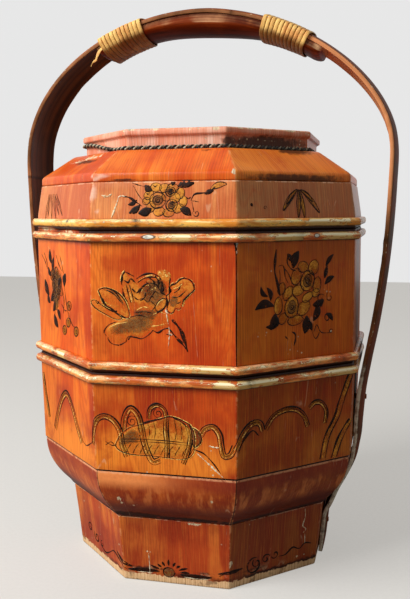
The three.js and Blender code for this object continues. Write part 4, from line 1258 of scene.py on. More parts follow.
def spray(p):
    """Two open flowers in a ring of petals, black leaves around, and long black stems at the upper left."""
    p.line("-23.4,43.5 -24.6,34 -25,26 -22.2,15.6 -19.4,5", 3.3, start=0.5, end=0.5)
    p.line("-21,29.5 -18,30.4 -15.9,29.3 -14,20 -11,15", 1.2)
    p.line("-16,28 -12.1,24.7 -8.6,19 -7,14", 1.3)
    p.line("-20,27 -19.5,20 -20,13", 0.8)
    p.line("-12,38 -12,32 -8,27 -3,25", 1.5)
    p.leaves("""
        -31.5 5 -39 14 4.5 2.5 / -29 1 -33 13 5 -2 / -25 -3 -45 -5 8 -3.5 / -24 -9 -29 -23 10 2 /
        -20 -17 -34 -20 5 1.5 / 9 -13 7 -29 10 1 / 11 -17 15 -27 5 0 / 28 -1 15 -5 8 1.5 /
        21 -3 16 -19 8 2 / -6 27 0 42 9 1.5 / -7 33 -12 40 5 0 / 29 27 38 38 4.5 1 / 28 17 31 29 4.5 0 /
        28 12 39 19 5.5 1 / 30 -13 38 -20 5 1.5""")
    p.ovals("""
        -21.2 -3 7.5 4.2 1.5 / 5.6 -6.5 7.8 5.5 0.6 / 9.8 2.5 6.5 3.4 0.5 / -16.5 -14 5.2 4 0.9 /
        -11 7 7 4 0.9 / -3 -16.5 8.5 4 0.1 / 4.7 28.2 5.6 4.6 0 / 16.2 27.5 6.4 5.4 1.2 /
        -2.6 20.5 7.4 5 1.3 / 19.8 12.5 7 4.2 1.4 / 18.5 5.5 4.4 3.4 0.3 / -0.6 8.6 6.4 4.4 0.2 /
        -18 11 5.4 3.6 1.2""", 0.9)
    rosette(p, (-7.2, -4.8), 9.4, 7.2, 1.45)
    rosette(p, (9.6, 16.6), 9.2, 7.2, 1.2)
    p.line("5,20 9,14 15,11", 1.3)
    p.line("7,24 12,24 16,20", 1.0)
    p.line("-7,-26 -3.4,-28 -3,-33 -4.6,-38", 2.0, start=0.3)
    p.line("-14,-29 -11,-32", 1.6, samples=6)
    p.curls("24 0 4.6 1.1 0.6 1 / 34 1 4.6 0.9 2 1 / 32 -17 4.4 0.9 1.2 1.4")
    p.line("20,-22 25,-29 31,-30 36,-30", 0.9)
    p.curl((36, -29), 2.2, 1.1, 0.4, 1.1)
    p.line("14,-26 19,-34 23,-28 20,-22 17,-28", 0.9)
    p.oval((36, -29), 0.9, 0.8, 0, PALE, 0)


def dark_spray(p):
    """A hanging branch, rubbed to a dark cloud in the middle: small flowers and black leaves round it, and
    thin stems with more flowers below."""
    p.shape("""
        -29,26 -11,25 1,19 -3,6 -10,-13 -24,-15 -29,4 /
        -27,20 -14,22 -6,14 -12,-8 -22,-10 -26,4""", SHADE, 0, samples=40)
    for x, y in ((-25, 17), (-15, 19), (-21, 9), (-8, 12), (-23, -2), (-13, 1), (-18, -9), (-6, 4)):
        p.oval((x, y), 6.0, 4.6, 0.1 * x, OLIVE, 1.1)
        p.curl((x, y), 2.6, 1.3, x, 1.0)
    p.leaves("""
        -27 27 -31 41 8 / -24 20 -21 34 7 / 3 8 7 21 9 / -35 -3 -46 12 10 / -33 -10 -39 -2 7 /
        -14 -31 -24 -19 9 / -16 -14 -8 -23 7 / -28 16 -36 24 6 / -12 8 -3 15 6 / -24 2 -31 -8 7 /
        -20 -6 -26 -17 7""", 1.5)
    p.line("""
        -52,35 -43,28 -38,22 / -46,37 -40,30 -36,22 / -15,36 -10,29 -2,22 / -6,36 -2,29 2,20 /
        -20,40 -22,20 -20,0 -22,-22 / 4,11 6,-2 13,-20 / -4,-8 3,-13 8,-13 / 0,4 2,-6 0,-16 /
        12,-14 20,-24 28,-26""", 1.3)
    for x, y in ((14, -8), (11.5, -23), (29, -29), (2, -31)):
        p.oval((x, y), 5.2, 4.0, 0.4, OLIVE, 1.3)
        p.curl((x, y), 2.2, 1.2, x, 1.2)


def putty(p):
    """The open corner's dark line, and the repair at its top."""
    p.line("61,57 61.2,30 61.5,0 61.3,-30 61.6,-56", 1.0, start=0.5, end=0.9, samples=60)
    p.line("61.4,57 61,50 61.2,42", 3.4, start=0.8)
    p.line("61.9,57 62.4,52 61.9,46", 2.6, PUTTY, 0.6, 0.4)
    p.line("62.2,44 62,41", 1.2, PUTTY, samples=6)


print("designs ready:", [draw.__name__ for draw in (peony, spray, dark_spray, putty)])

# %% [markdown]
# ## The lower storey's ribbons
# A treasure bundle tied with a long ribbon fills the lower front. The ribbon swings over both corners on to
# the next faces, so its strokes run past the end of the face. At the far right two broad bands rise.

# %% Bundle and ribbons


def bundle(p):
    """A tied roll: its gold body, bands and hatching, then the ribbon that loops over it."""
    p.shape("""
        -43,-19 -37,-9 -29,-3 -19,0 -2,6 6,8 16,5 23,1 26,-7 26,-17 23,-25 13,-28 -4,-27 -23,-27 -34,-26
        -41,-23""", samples=70)
    p.shape("-41,-20 -36,-10 -28,-4 -21,-8 -22,-16 -30,-18", SHADE, 0)
    p.shape("24,-1 29,-3 32,-8 31,-13 26,-17 24,-9", SHADE, 1.1)
    p.line("-52,-17 -46,-20 -42,-19", 1.0)
    p.line("-52,-20 -47,-17 -43,-21", 0.8)
    p.line("-40,-14 -20,-13 4,-13 25,-14", 1.0)
    p.line("-38,-16 -14,-15 8,-15 24,-16", 0.7)
    for x in np.arange(-34, 22, 6.1):
        p.line([(x, -26), (x + 2.4, -21), (x + 5.2, -17)], 0.8)
    for x, top in ((-14, 1), (-9, 3), (9, 6), (14, 4)):
        p.line([(x, top), (x + 1.5, -5), (x + 0.5, -12)], 0.8)
    p.ribbon("2.4,8 1.6,-4 2.6,-16 2,-28", 4.0)
    p.ribbon("20,2 22.5,-8 20.5,-20 16,-32", 3.6)
    p.ribbon("-65,-21 -63,-7 -59,2 -53,5 -45,2 -39,-7 -37,-19 -33,-29", 4.6)
    p.ribbon("-36,-7 -34,6 -29,13 -23,8 -20,-2 -18,-14 -14,-26 -10,-32 -4,-30", 5.0)
    p.ribbon("-13,5 -12,13 -6,17 0,14 2,8", 3.4)
    p.ribbon("31,-7 35,-1 42,1 47,-5 48.5,-14 51,-23 56,-22 60,-14", 4.6)
    p.curl((-28, 2), 5.2, 1.6, 0.5)
    p.curl((-5, 10), 4.4, 1.5, 2.0)
    p.line("-19,1 -10,4 -1,6", 1.8)
    p.line("8,7 15,4 21,-1", 1.5)
    p.line("26,-19 34,-22 42,-30 48,-38", 1.6, start=0.5)
    p.line("28,-22 34,-27 43,-35 52,-43", 1.5, PALE, start=0.2, end=0.1, samples=40)
    p.line("38,-15 43,-16 47,-16", 1.6, PALE, samples=14)


def waves(p):
    """The ribbon's end at the right: three swings, then two broad rising bands."""
    p.ribbon("-62,-17 -55,-4 -46,3 -39,2 -36,-5", 5.0)
    p.line("-60,-20 -54,-9 -46,-3 -40,-8", 2.2)
    p.ribbon("-33,-4 -25,6 -12,10 0,8 8,1 12,-8", 4.4)
    p.ribbon("13,8 19,12 26,11 32,3 31,-8", 4.0)
    for band in ([(28, -40), (33, -20), (43, -4), (48, 10), (54, 24), (60, 36)],
                 [(41, -41), (47, -26), (55, -14), (61, -8)]):
        band = np.array(band, float)
        p.line(band + [1.5, 0], 4.6, GOLD, 0.8, 0.8)
        p.line(band + [-1.5, 0], 2.8, INK, 0.8, 0.8)
        p.line(band + [4.5, 0], 1.4, INK, 0.8, 0.8)


def left_waves(p):
    p.ribbon("-58,22 -52,0 -46,-20", 4.4)
    p.ribbon("-32,-28 -22,-10 -10,6 2,12 14,2 24,-14 33,-26", 6.0)
    p.line("36,-24 42,-26 52,-22 59,-18", 1.2)


# %% [markdown]
# ## The lid's and the foot's small designs
# A branch of gold flowers and some bamboo grow on the lid's low walls. The foot has worn leaves and scrolls
# just above its raw edge. Each storey has three designs, and one table says which face shows which.

# %% Lid and foot


def branch(p):
    """A cluster of gold flowers between dark leaves, on a branch that runs out to both sides."""
    p.line("-17,0 -23,4 -28,7 -33,8", 2.4)
    p.line("-31,8 -36,8 -38.5,2 -41,-5 -43,-10", 1.8, PALE)
    p.line("-52,9 -47,8 -43,10", 2.2, PALE)
    p.line("-26,19 -22,17.5 -14,15.5", 0.9)
    p.line("-25,17 -20,9 -14,2", 0.8)
    p.line("24,4 27,9 34,10 39,11 44,15", 1.8)
    p.leaf((35, 9), (43, 12), 4.2, 0.5)
    p.leaf((40, 13), (53, 17), 4.6, 1.2, GOLD, 0.9)
    p.line("24,4 31,3", 0.9, samples=5)
    p.line("25,3 26.5,-3 27,-5", 0.9)
    p.curl((29, -6), 3.2, 1.2, 2.6, 0.9)
    p.leaves("""
        -8 -2 -20 -6 8 / -18 1 -28 -6 6 / -21 5 -29 1 4 / 15 -2 25 -8 7 / 13 16 27 18 8 / -8 12 -15 17 6 /
        8 16 11 19 4""", 1)
    p.ovals("""
        -11 9 4.6 3.4 0.6 / -5 15 4.8 3.6 0 / 2 14.5 4.2 3.6 0.4 / 9 14 5 3.8 0 / 15 10 4.8 3.8 1.2 /
        18 3.5 4.4 3.2 1.4 / 14 -2 4.6 3.4 0.5 / 6 -5.5 5 3.4 0 / -2 -4.5 5 3.6 0.2 /
        -9 -0.5 4.8 3.6 1.1 / -13 4 3.6 2.8 0.4 / 4 8 4.4 3.6 0.8 / 11 6.5 4.6 4.2 0""", 0.8)
    rosette(p, (-3.4, 4.6), 7.0, 6.4, 0.3)
    rosette(p, (8.4, 0.6), 5.0, 4.6, 0.8)
    rosette(p, (7.2, 11.4), 4.2, 3.8, 0.2)
    for x, y in ((-14, 11), (-8, 17), (12, 17), (20, 7)):
        p.line([(x, y), (x + 2, y - 1.5), (x + 4, y)], 1.4)


def bamboo_leaves(p):
    """A fan of gold leaves, each with its midrib, a small lozenge and a curl."""
    for x, y, width in rows_of("-16 -4 4.6 / -12 1 3.4 / -0.5 -10 4 / 6 -10 3.6 / 22 -6 4.4 / 16 3 3.4"):
        base, tip = np.array([2 + 0.1 * x, 13]), np.array([x, y])
        p.leaf(base, tip, width, 0.06 * x, GOLD, 1.1)
        p.line([base, (base + tip) / 2, tip], 0.7)
    p.shape("-47,2 -45.5,0.5 -47,-1 -48.5,0.5", INK, 0, samples=12)
    p.curl((-34, -2), 1.8, 1.0, 0, 0.6)


def thin_bamboo(p):
    """Bare leaves, each of two lines that bow away from each other."""
    for tip in np.array(rows_of("-40 -12 / -34 -9 / -24 -11 / -14 -10 / -7 -7 / 2 -8")):
        base = np.array([-28 + 0.45 * (tip[0] + 20), 12])
        for bow in (-1.6, 1.6):
            p.line([base, (base + tip) / 2 + [bow, 0], tip], 0.8)


def foot_flower(p):
    """A worn flower just above the raw edge: a dark disc, spiky petals and two long leaves."""
    p.leaf((-46, -21), (-14, -20), 4.6, 0.6)
    p.leaf((3, -21), (34, -21), 5.2, -0.8)
    p.line("-36,-22.5 -30,-22 -22,-22.5", 0.8, PALE, samples=24)
    p.line("8,-23 17,-23.5 30,-23", 0.9, PALE, samples=24)
    p.oval((-6, -20), 5.4, 4.6, 0, SHADE, 1.4)
    p.oval((-6, -20.5), 2.2, 1.8, 0, GOLD, 0)
    for angle in np.linspace(0.1, math.pi - 0.1, 9):
        way = np.array([1.6 * math.cos(angle), math.sin(angle)])
        start = np.array([-6, -20]) + 6.2 * way
        p.leaf(start, start + (5 + 1.5 * math.sin(5 * angle)) * way, 2.4, 0.4)
    p.line("-24,-26 -24,-14 -24.4,-3", 0.9, PALE)


def foot_scrolls(p):
    p.leaf((-60, -17), (-34, -14), 3.6, 1)
    p.line("-58,-19 -50,-15 -42,-16 -36,-13", 1.2)
    p.curl((-23, -14), 7.6, 0.9, 1.2, 2.4, inner=0.8)
    p.curls("-20 -12 5 1.1 2.4 1.9 / -10 -11 4.8 1.2 0.4 1.9 / 0 -9 4.2 1.1 3.4 1.9")
    p.line("4,-12 12,-12 20,-7 28,-10 34,-6 42,-8", 2.2)
    p.line("31,29 32,20 30,12 34,8 31,5", 1.2, PALE)
    p.line("33,4 34,-6", 0.7, PALE, samples=6)


def foot_curls(p):
    p.curls("-22 -6 5.2 1.2 0.5 1.8 / -8 -11 6 1.3 2.5 1.8 / 4 -14 3.6 1 1.5 1.4")
    p.line("0,-16 10,-20 20,-16 30,-11 40,-15 52,-21", 2.0)
    p.leaf((36, -8), (58, -18), 4.4, -1)


# A place is a face, the number of its design and 1, or -1 for a mirrored one.
PLACES = (
    ("front", 0, 1), ("front_right", 1, 1), ("front_left", 2, 1), ("back", 0, -1), ("back_left", 1, -1),
    ("back_right", 2, -1), ("front", 3, 1))
DESIGNS = {
    "middle_tier": (middle_ring, "middle_tier", "wall_lacquer", (peony, spray, dark_spray, putty)),
    "bottom_tier": (bottom_ring, "base", "wall_lacquer", (bundle, waves, left_waves)),
    "foot": (foot_ring, "base", "wall_lacquer", (foot_flower, foot_scrolls, foot_curls)),
    "lid": (lid_wall_ring, "lid", "lid_lacquer", (branch, bamboo_leaves, thin_bamboo))}


def paintings_on(ring, designs):
    """Draws each design at its places, in their order."""
    for face, number, mirror in PLACES:
        for draw in designs[number:number + 1]:
            painting = Painting(ring, face, mirror)
            draw(painting)
            yield painting


brushworks = [
    painted(f"{storey}_brushwork", list(paintings_on(ring, designs)), body, slot)
    for storey, (ring, body, slot, designs) in DESIGNS.items()]
print("brushwork:", {b.name: len(b.data.polygons) for b in brushworks})

# %% [markdown]
# ## Rope round the collar
# A thin two-ply rope, one ply black and one off-white, was pushed under the collar's lip. It lies on the
# roof at the front and climbs to the lip at the left. Each ply is a helix round the rope's middle line.

# %% Rope
ROPE = SimpleNamespace(diameter=3.6 * MM, pitch=7.5 * MM, rise_inset=50 * MM, rise_end=5 * MM, steps=14)
PLY_RADIUS = 0.272 * ROPE.diameter


def rope_line(apothem, step):
    """The octagon's outline one rope radius outside the collar, bent round each corner by an arc, as even
    samples of place and outward angle, with the length so far and the whole length."""
    reach = FIT + ROPE.diameter / 2
    corner = heading(np.arange(len(FACES)))[:, None] + HALF
    facing = corner + np.linspace(-HALF, HALF, 5)
    radius = apothem / math.cos(HALF)
    ring = (round_points(radius, corner) + round_points(reach, facing)).reshape(-1, 2)
    ring = np.vstack([ring, ring[:1]])
    turned = np.unwrap(facing.ravel())
    turned = np.append(turned, turned[0] + 2 * math.pi)
    length = lengths_along(ring)
    at = np.arange(0, length[-1], length[-1] / round(length[-1] / step))
    return at_lengths(at, length, ring), np.interp(at, length, turned), at, length[-1]


def make_rope():
    """Both plies in one mesh. A ply's middle lies a quarter of the rope's diameter from its line, turned by
    2 pi for each pitch. Its own radius is a little more than that, so that the plies press together."""
    collar_apothem = collar_box.outer - COLLAR_LIP.overhang
    low = roof_box.top + FIT + ROPE.diameter / 2
    high = collar_box.top - COLLAR_LIP.height - FIT - ROPE.diameter / 2
    place, facing, at, length = rope_line(collar_apothem, ROPE.pitch / ROPE.steps)
    rise = 1 - ease(collar_apothem + place[:, 0], ROPE.rise_end, ROPE.rise_inset)
    height = low + (high - low) * rise
    turns = 2 * math.pi * round(length / ROPE.pitch) * at / length
    across = full_turn(8)
    points, faces, shade = [], [], []
    for number, phase in enumerate((0, math.pi)):
        out = ROPE.diameter / 4 * np.cos(turns + phase)[:, None] + PLY_RADIUS * np.cos(across)
        up = ROPE.diameter / 4 * np.sin(turns + phase)[:, None] + PLY_RADIUS * np.sin(across)
        x = place[:, :1] + out * np.cos(facing)[:, None]
        y = place[:, 1:] + out * np.sin(facing)[:, None]
        points.append(stacked(x, y, height[:, None] + up))
        faces.append(grid_faces(x, wrap_rows=True) + number * x.size)
        shade.append(np.full(x.shape, number))
    return new_piece(
        "lid_rope", np.vstack(points), np.vstack(faces), rope_fibre, "lid", "twisted_rope", ["lid_rope"],
        {"ply": np.vstack(shade)})


def fibre_material():
    s = Shader("rope_fibre")
    hair, worn = s.speckle(1500, 3, 0.7), s.speckle(55, 3)
    kept = s.parts(s.place())[0].rise(60 * MM, 20 * MM) * 0.7 + 0.3
    s.coat(s.mix("120e0b", "3c342a", hair.rise(0.4, 0.8)))
    white = s.mix("766c56", "c6bc9e", hair.rise(0.3, 0.6))
    s.coat(white, s.numbers("ply")[0] * worn.rise(0.32, 0.46) * kept)
    return s.finish(0.85, s.bump(hair, 0.3 * MM, 0.9))


rope_fibre = fibre_material()
rope = make_rope()
print("rope:", len(rope.data.polygons), "faces")

# %% [markdown]
# ## The strap's route
# The handle is one long slat of split bamboo. It starts at the floor, follows foot, moulding and wall on the
# right, bows out to a shoulder, arches over the lid and comes down on the left in the same way. Its route is
# a smooth curve through a few points that are worked out from the body's sizes.

# %% Route of the strap
STRAP = SimpleNamespace(
    width=56 * MM, thickness=4 * MM, curl=4.5 * MM, foot_curl=0.4 * MM, stand_off=0.8 * MM)
STRAP_FLOOR_GAP = 4 * MM
FOOT_LEAVE = 20 * MM
BRIDGE = ((1.2 * MM, -7 * MM), (7 * MM, 7 * MM))
MOULDING_JOIN, MOULDING_LEAVE = 27 * MM, 3 * MM
WALL_JOIN, WALL_REST, WALL_LEAVE = 7 * MM, 21 * MM, 37 * MM
BEAD_GAP = 1.5 * MM
BEAD_DEPTH, BEAD_SETBACK = 5 * MM, 5.8 * MM
CROWN_SHIFT, HANDLE_ROOM = 2 * MM, 112.7 * MM
CROWN = collar_box.top + HANDLE_ROOM
ARCH_DROP = 100 * MM
SHOULDERS = {
    "right": SimpleNamespace(beyond=27.3 * MM, below=125 * MM, power=1.8),
    "left": SimpleNamespace(beyond=21.5 * MM, below=130 * MM, power=1.92)}


def foot_apothem(height):
    return foot_bottom + (foot_box.outer - foot_bottom) * height / foot_box.top


def wall_apothem(height):
    share = (height - bottom_box.base) / (bottom_box.top - bottom_box.base - WALL_STRAIGHT)
    return WALL - BOTTOM_WALL_LEAN * np.maximum(0, 1 - share)


def lower_run():
    """Beside foot, moulding and wall the route keeps the stand-off, and it bridges the step between them."""
    foot = np.linspace(STRAP_FLOOR_GAP, foot_box.top - FOOT_LEAVE, 4)
    bowl = np.linspace(moulding_box.top - MOULDING_JOIN, moulding_box.top - MOULDING_LEAVE, 3)
    side = bottom_box.base + np.array([WALL_JOIN, WALL_REST])
    bridge = [(MOULDING_BOTTOM + beyond, foot_box.top + above) for beyond, above in BRIDGE]
    return np.array([
        *zip(foot_apothem(foot) + STRAP.stand_off, foot), *bridge,
        *zip(moulding_apothem(bowl) + STRAP.stand_off, bowl),
        *zip(wall_apothem(side) + STRAP.stand_off, side),
        (WALL + 2 * STRAP.stand_off, bottom_box.top - WALL_LEAVE)])


def bow_and_arch(shoulder):
    """Up to the shoulder the slat leans out as a parabola does. Then it follows a quarter of a superellipse
    to the crown: reach = shoulder * cos(a) ** (2 / power), drop = rise * (1 - sin(a) ** (2 / power))."""
    start = BEAD_DEPTH + FIT + BEAD_GAP
    base = bottom_box.top - BEAD_SETBACK
    t = np.arange(6) / 6
    out = WALL + start + (shoulder.beyond - start) * (1 - (1 - t) ** 2)
    bow = stacked(out, base + (CROWN - shoulder.below - base) * t)
    a = math.pi / 2 * np.arange(8) / 8
    reach = (WALL + shoulder.beyond) * np.cos(a) ** (2 / shoulder.power)
    return np.vstack([bow, stacked(reach, CROWN - shoulder.below * (1 - np.sin(a) ** (2 / shoulder.power)))])


def make_route():
    right, left = [np.vstack([lower_run(), bow_and_arch(SHOULDERS[side])]) for side in ("right", "left")]
    fine = spline(np.vstack([right, [[CROWN_SHIFT, CROWN]], left[::-1] * [-1, 1]]), 6001)
    length = lengths_along(fine)
    direction = unit(np.gradient(fine, length, axis=0))
    return SimpleNamespace(points=fine, length=length, direction=direction, total=length[-1])


route = make_route()


def on_route(at):
    """Place (x, z) and outward direction at the given lengths along the route."""
    tangent = unit(at_lengths(at, route.length, route.direction))
    return at_lengths(at, route.length, route.points), stacked(tangent[..., 1], -tangent[..., 0])


def length_at_x(x):
    """Where the route crosses x on its way over the top, from right to left."""
    top = route.points[:, 1] > CROWN - ARCH_DROP
    return float(np.interp(-x, -route.points[top, 0], route.length[top]))


def carry(at, across, out):
    """World points of a section: across lies along Y, and out along the route's outward direction."""
    place, facing = on_route(at)
    return stacked(place[..., 0] + out * facing[..., 0], across, place[..., 1] + out * facing[..., 1])


def curl_out(across, curl):
    return curl * (1 - (across / (STRAP.width / 2)) ** 2)


print("strap length:", round(route.total, 3), "m; crown at", round(float(route.points[:, 1].max()), 4), "m")

# %% [markdown]
# ## Bamboo
# Split bamboo shows straight fibres along its length and dark rings where the culm had its nodes. The hard
# skin was lacquered. At the right, a light orange is painted on the strap's inner side as painted light, and
# its edges are lighter from wear and painted light.

# %% Bamboo


def bamboo(name, deep, warm, bright, rubbed_and_lit_tone, gloss=0.38):
    """The run attribute holds (across, length, depth), and the wear attribute how worn the piece is there
    and how much painted light falls on it.
    """
    s = Shader(name)
    run = s.attribute("run")
    wear_and_light, edge, node, grey = s.numbers("wear_and_light", "edge", "node", "grey")
    fibre = s.noise(run, (900, 9, 900), 4, 0.7)
    band = s.noise(run, (130, 4, 130), 3)
    blotch, spots = s.speckle(34, 4, 0.62), s.speckle(190, 4, 0.6)
    skin = s.parts(run)[2].rise(2.4 * MM, 3.4 * MM)
    # Painted light on the lit inner side at the right, and wear with painted light along the edges, turn the
    # lacquer light orange.
    rubbed = (wear_and_light * 0.9 + blotch * 0.35 + fibre * 0.25).rise(0.55, 0.95)
    greyed = (grey * 0.6 + spots * 0.6).rise(0.66, 0.92)
    chip = (edge * 0.30 + spots * 0.62).rise(0.66, 0.70)
    s.coat(deep)
    s.coat(warm, band.rise(0.30, 0.66))
    s.coat("8c3010", skin * blotch.rise(0.38, 0.60) * 0.55)
    s.coat(bright, (fibre * 0.4 + blotch * 0.6).rise(0.50, 0.72) * 0.6)
    s.coat(deep, fibre.rise(0.48, 0.34) * 0.5)
    s.coat(rubbed_and_lit_tone, rubbed * 0.85)
    s.coat("a0603c", rubbed * fibre.rise(0.5, 0.36) * 0.6)
    s.coat(s.mix("8c7e68", "eee4ca", (fibre * 0.5 + spots * 0.5).rise(0.38, 0.54)), greyed * 0.9)
    s.coat("e2cdaa", chip * 0.75)
    s.coat("160b06", node * 0.75)
    normal = s.bump(fibre * 0.6 - chip * 0.6, 0.25 * MM, 0.6)
    return s.finish(gloss + blotch * 0.15 + chip * 0.25, normal, Specular_IOR_Level=0.08)


dark_bamboo = bamboo("dark_bamboo", "38200e", "603a1a", "84562a", "ec9c66", gloss=0.46)
grip_bamboo = bamboo("grip_bamboo", "3c1208", "86340f", "bc5e20", "e8b888")
print("bamboos:", dark_bamboo.name, grip_bamboo.name)

# %% [markdown]
# ## The strap
# The section is a slat with rounded edges. Both its edges curl inwards, as the wall of a culm does, and the
# curl fades towards the foot. Nicks narrow it here and there, and a node stands up slightly on the outside.

# %% Strap
NODE_SPACING, NODE_WIDTH, NODE_HEIGHT = 287 * MM, 3.5 * MM, 0.5 * MM
NODE_RING_OFFSET, NODE_RING_WIDTH = 1.5 * MM, 1.1 * MM
LEFT_NODE_HEIGHT = 368 * MM
CURL_START = 50 * MM
CURL_END = CURL_START + 100 * MM
UNEVEN_EDGE, NICK = 0.4 * MM, 0.9 * MM
UNEVEN_CELL, NICK_CELL = 23 * MM, 4 * MM
STRAP_SKIN = 0.2 * MM
GREYED_BELOW, WORN_FROM, WORN_TO = 200 * MM, 300 * MM, 380 * MM


def strap_nodes(at):
    """Distance to the nearest node, which lie evenly from the one on the left side."""
    left = route.points[:, 0] < 0
    first = np.interp(-LEFT_NODE_HEIGHT, -route.points[left, 1], route.length[left])
    off = (at - first) / NODE_SPACING
    return (off - np.round(off)) * NODE_SPACING


def make_strap():
    """out = curl * (1 - (across / half width) ** 2) + depth in the slat, at each length along the route."""
    half, thick = STRAP.width / 2, STRAP.thickness - STRAP_SKIN
    corners = [(-half, 0), (half, 0), (half, thick), (-half, thick)]
    flat, depth = refined(eased(corners, np.array([1, 1, 1.5, 1.5]) * MM), 3 * MM).T
    at = np.linspace(0, route.total, 560)[:, None]
    x, height = [np.interp(at, route.length, route.points[:, k]) for k in (0, 1)]
    curl = STRAP.foot_curl + (STRAP.curl - STRAP.foot_curl) * ease(height, CURL_START, CURL_END)
    worn = clouds(stacked(at, 0, 0), UNEVEN_CELL, 5)
    chewed = clouds(stacked(at, 0, 0), NICK_CELL, 9) * ease(worn, 0.55, 0.8)
    across = flat * (1 - (UNEVEN_EDGE * worn + NICK * chewed) / half)
    node = np.exp(-(strap_nodes(at) / NODE_WIDTH) ** 2)
    out = curl_out(across, curl) + depth + NODE_HEIGHT * node * (ease(depth, 2 * MM, 3.5 * MM) - 1)
    points = carry(at, across, out)
    lit = ease(x, 40 * MM, 120 * MM)
    high = ease(height, WORN_FROM, WORN_TO)
    rim = ease(np.abs(flat), half - 1.6 * MM, half - 0.4 * MM)
    inner = 1 - ease(depth, 0.5 * MM, 2 * MM)
    attributes = {
        "run": stacked(across, at, depth),
        # Painted light on the inner side of the right arm high up, and wear with painted light on the edges.
        "wear_and_light": np.maximum(inner * lit * high * 0.8, rim * (0.40 + 0.4 * lit * high)),
        "edge": rim * ease(depth, 1.5 * MM, 3 * MM),
        "node": np.exp(-((strap_nodes(at) - NODE_RING_OFFSET) / NODE_RING_WIDTH) ** 2),
        "grey": rim * lit * ease(height, GREYED_BELOW + 30 * MM, GREYED_BELOW - 30 * MM)}
    return new_piece(
        "handle_strap", points, tube_faces(points), dark_bamboo, "base", "dark_bamboo", ["handle_strap"],
        attributes, sharp=50)


strap = make_strap()
print("strap:", len(strap.data.polygons), "faces")

# %% [markdown]
# ## The grip
# A thick bar of bamboo under the strap fills the hand. Its top follows the strap's hollow, its sides were
# planed flat, and its belly is round. It is thinner under the windings, and its ends are cut with a knife.

# %% Grip
GRIP = SimpleNamespace(width=52 * MM, depth=16 * MM, end_depth=9.5 * MM, side_share=0.44, seat_gap=0.45 * MM)
GRIP_FROM, GRIP_TO = -101 * MM, 116 * MM
GRIP_END_ROUND = 9 * MM
GRIP_THINNING = (0.0, 0.7)
GRIP_END = SimpleNamespace(width=0.8, side=0.55, fullness=0.35)
GRIP_KNOT = SimpleNamespace(cell=16 * MM, height=0.12 * MM)
grip_start, grip_end = length_at_x(GRIP_TO), length_at_x(GRIP_FROM)


def grip_depth(at):
    from_middle = np.abs(2 * (at - grip_start) / (grip_end - grip_start) - 1)
    return GRIP.depth + (GRIP.end_depth - GRIP.depth) * ease(from_middle, *GRIP_THINNING)


def make_grip():
    """Sections at lengths that crowd towards the ends. The top follows the strap's hollow, the sides drop
    straight, and the belly is half an ellipse: across = -half * cos(a), out = -side - belly * sin(a)."""
    long = grip_end - grip_start
    from_start = (long * (1 - np.cos(np.linspace(0, math.pi, 181))) / 2)[:, None]
    at = grip_start + from_start
    inset = np.maximum(0, 1 - np.minimum(from_start, long - from_start) / GRIP_END_ROUND)
    full = GRIP_END.fullness + (1 - GRIP_END.fullness) * np.sqrt(1 - inset ** 2)
    depth = grip_depth(at)
    half = GRIP.width / 2 * (GRIP_END.width + (1 - GRIP_END.width) * full)
    side = depth * GRIP.side_share * (GRIP_END.side + (1 - GRIP_END.side) * full)
    belly = depth * (1 - GRIP.side_share) * full
    top = np.linspace(1, -1, 25)
    a = np.linspace(0, math.pi, 41)
    across = np.hstack([half * top, -half * np.cos(a)])
    out = np.hstack([curl_out(half * top, STRAP.curl) - GRIP.seat_gap, -side - belly * np.sin(a)])
    knots = clouds(stacked(across, out, at), GRIP_KNOT.cell, 3)
    under = np.hstack([0 * top, 0 * a + 1]) * (1 - inset)
    out = out + under * GRIP_KNOT.height * (knots - 0.2)
    points = carry(at, across, out)
    # The side facets and the arris under them get painted highlights, and the cut ends real wear.
    on_side = ease(np.abs(across), half * 0.90, half * 0.99) * ease(out, -1.25 * side, -0.9 * side)
    arris = np.exp(-((out + 1.08 * side) / (0.6 * MM)) ** 2) * under
    cut = inset * ease(out, -1.3 * side, -0.7 * side)
    attributes = {
        "run": stacked(across, at, out),
        "wear_and_light": 0.34 * on_side + 0.42 * arris * ease(knots, 0.35, 0.7) + 0.8 * cut,
        "edge": arris * 0.8,
        # The node attribute here paints shade along the belly.
        "node": under * ease(out, -1.2 * side, -1.9 * side) * 0.72}
    return new_piece(
        "handle_grip", points, tube_faces(points), grip_bamboo, "base", "grip_bamboo", ["handle_grip"],
        attributes, sharp=50)


grip = make_grip()
print("grip:", len(grip.data.polygons), "faces")

# %% [markdown]
# ## Rattan windings
# Two windings of flat rattan bind grip and strap. Each is one unbroken strand of eleven turns. The turns lie
# against each other, and no two are quite alike in width, tightness or colour.

# %% Windings
WINDING = SimpleNamespace(pitch=4.1 * MM, turns=11, width=4.15 * MM, thickness=1.5 * MM, stand_off=1.3 * MM)
WINDING_MIDDLES = {"left": -76 * MM, "right": 82 * MM}
WANDER, LOOSENESS, NARROWING = 0.55 * MM, 0.35 * MM, 0.16
TOP_STEPS, BELLY_STEPS = 14, 26


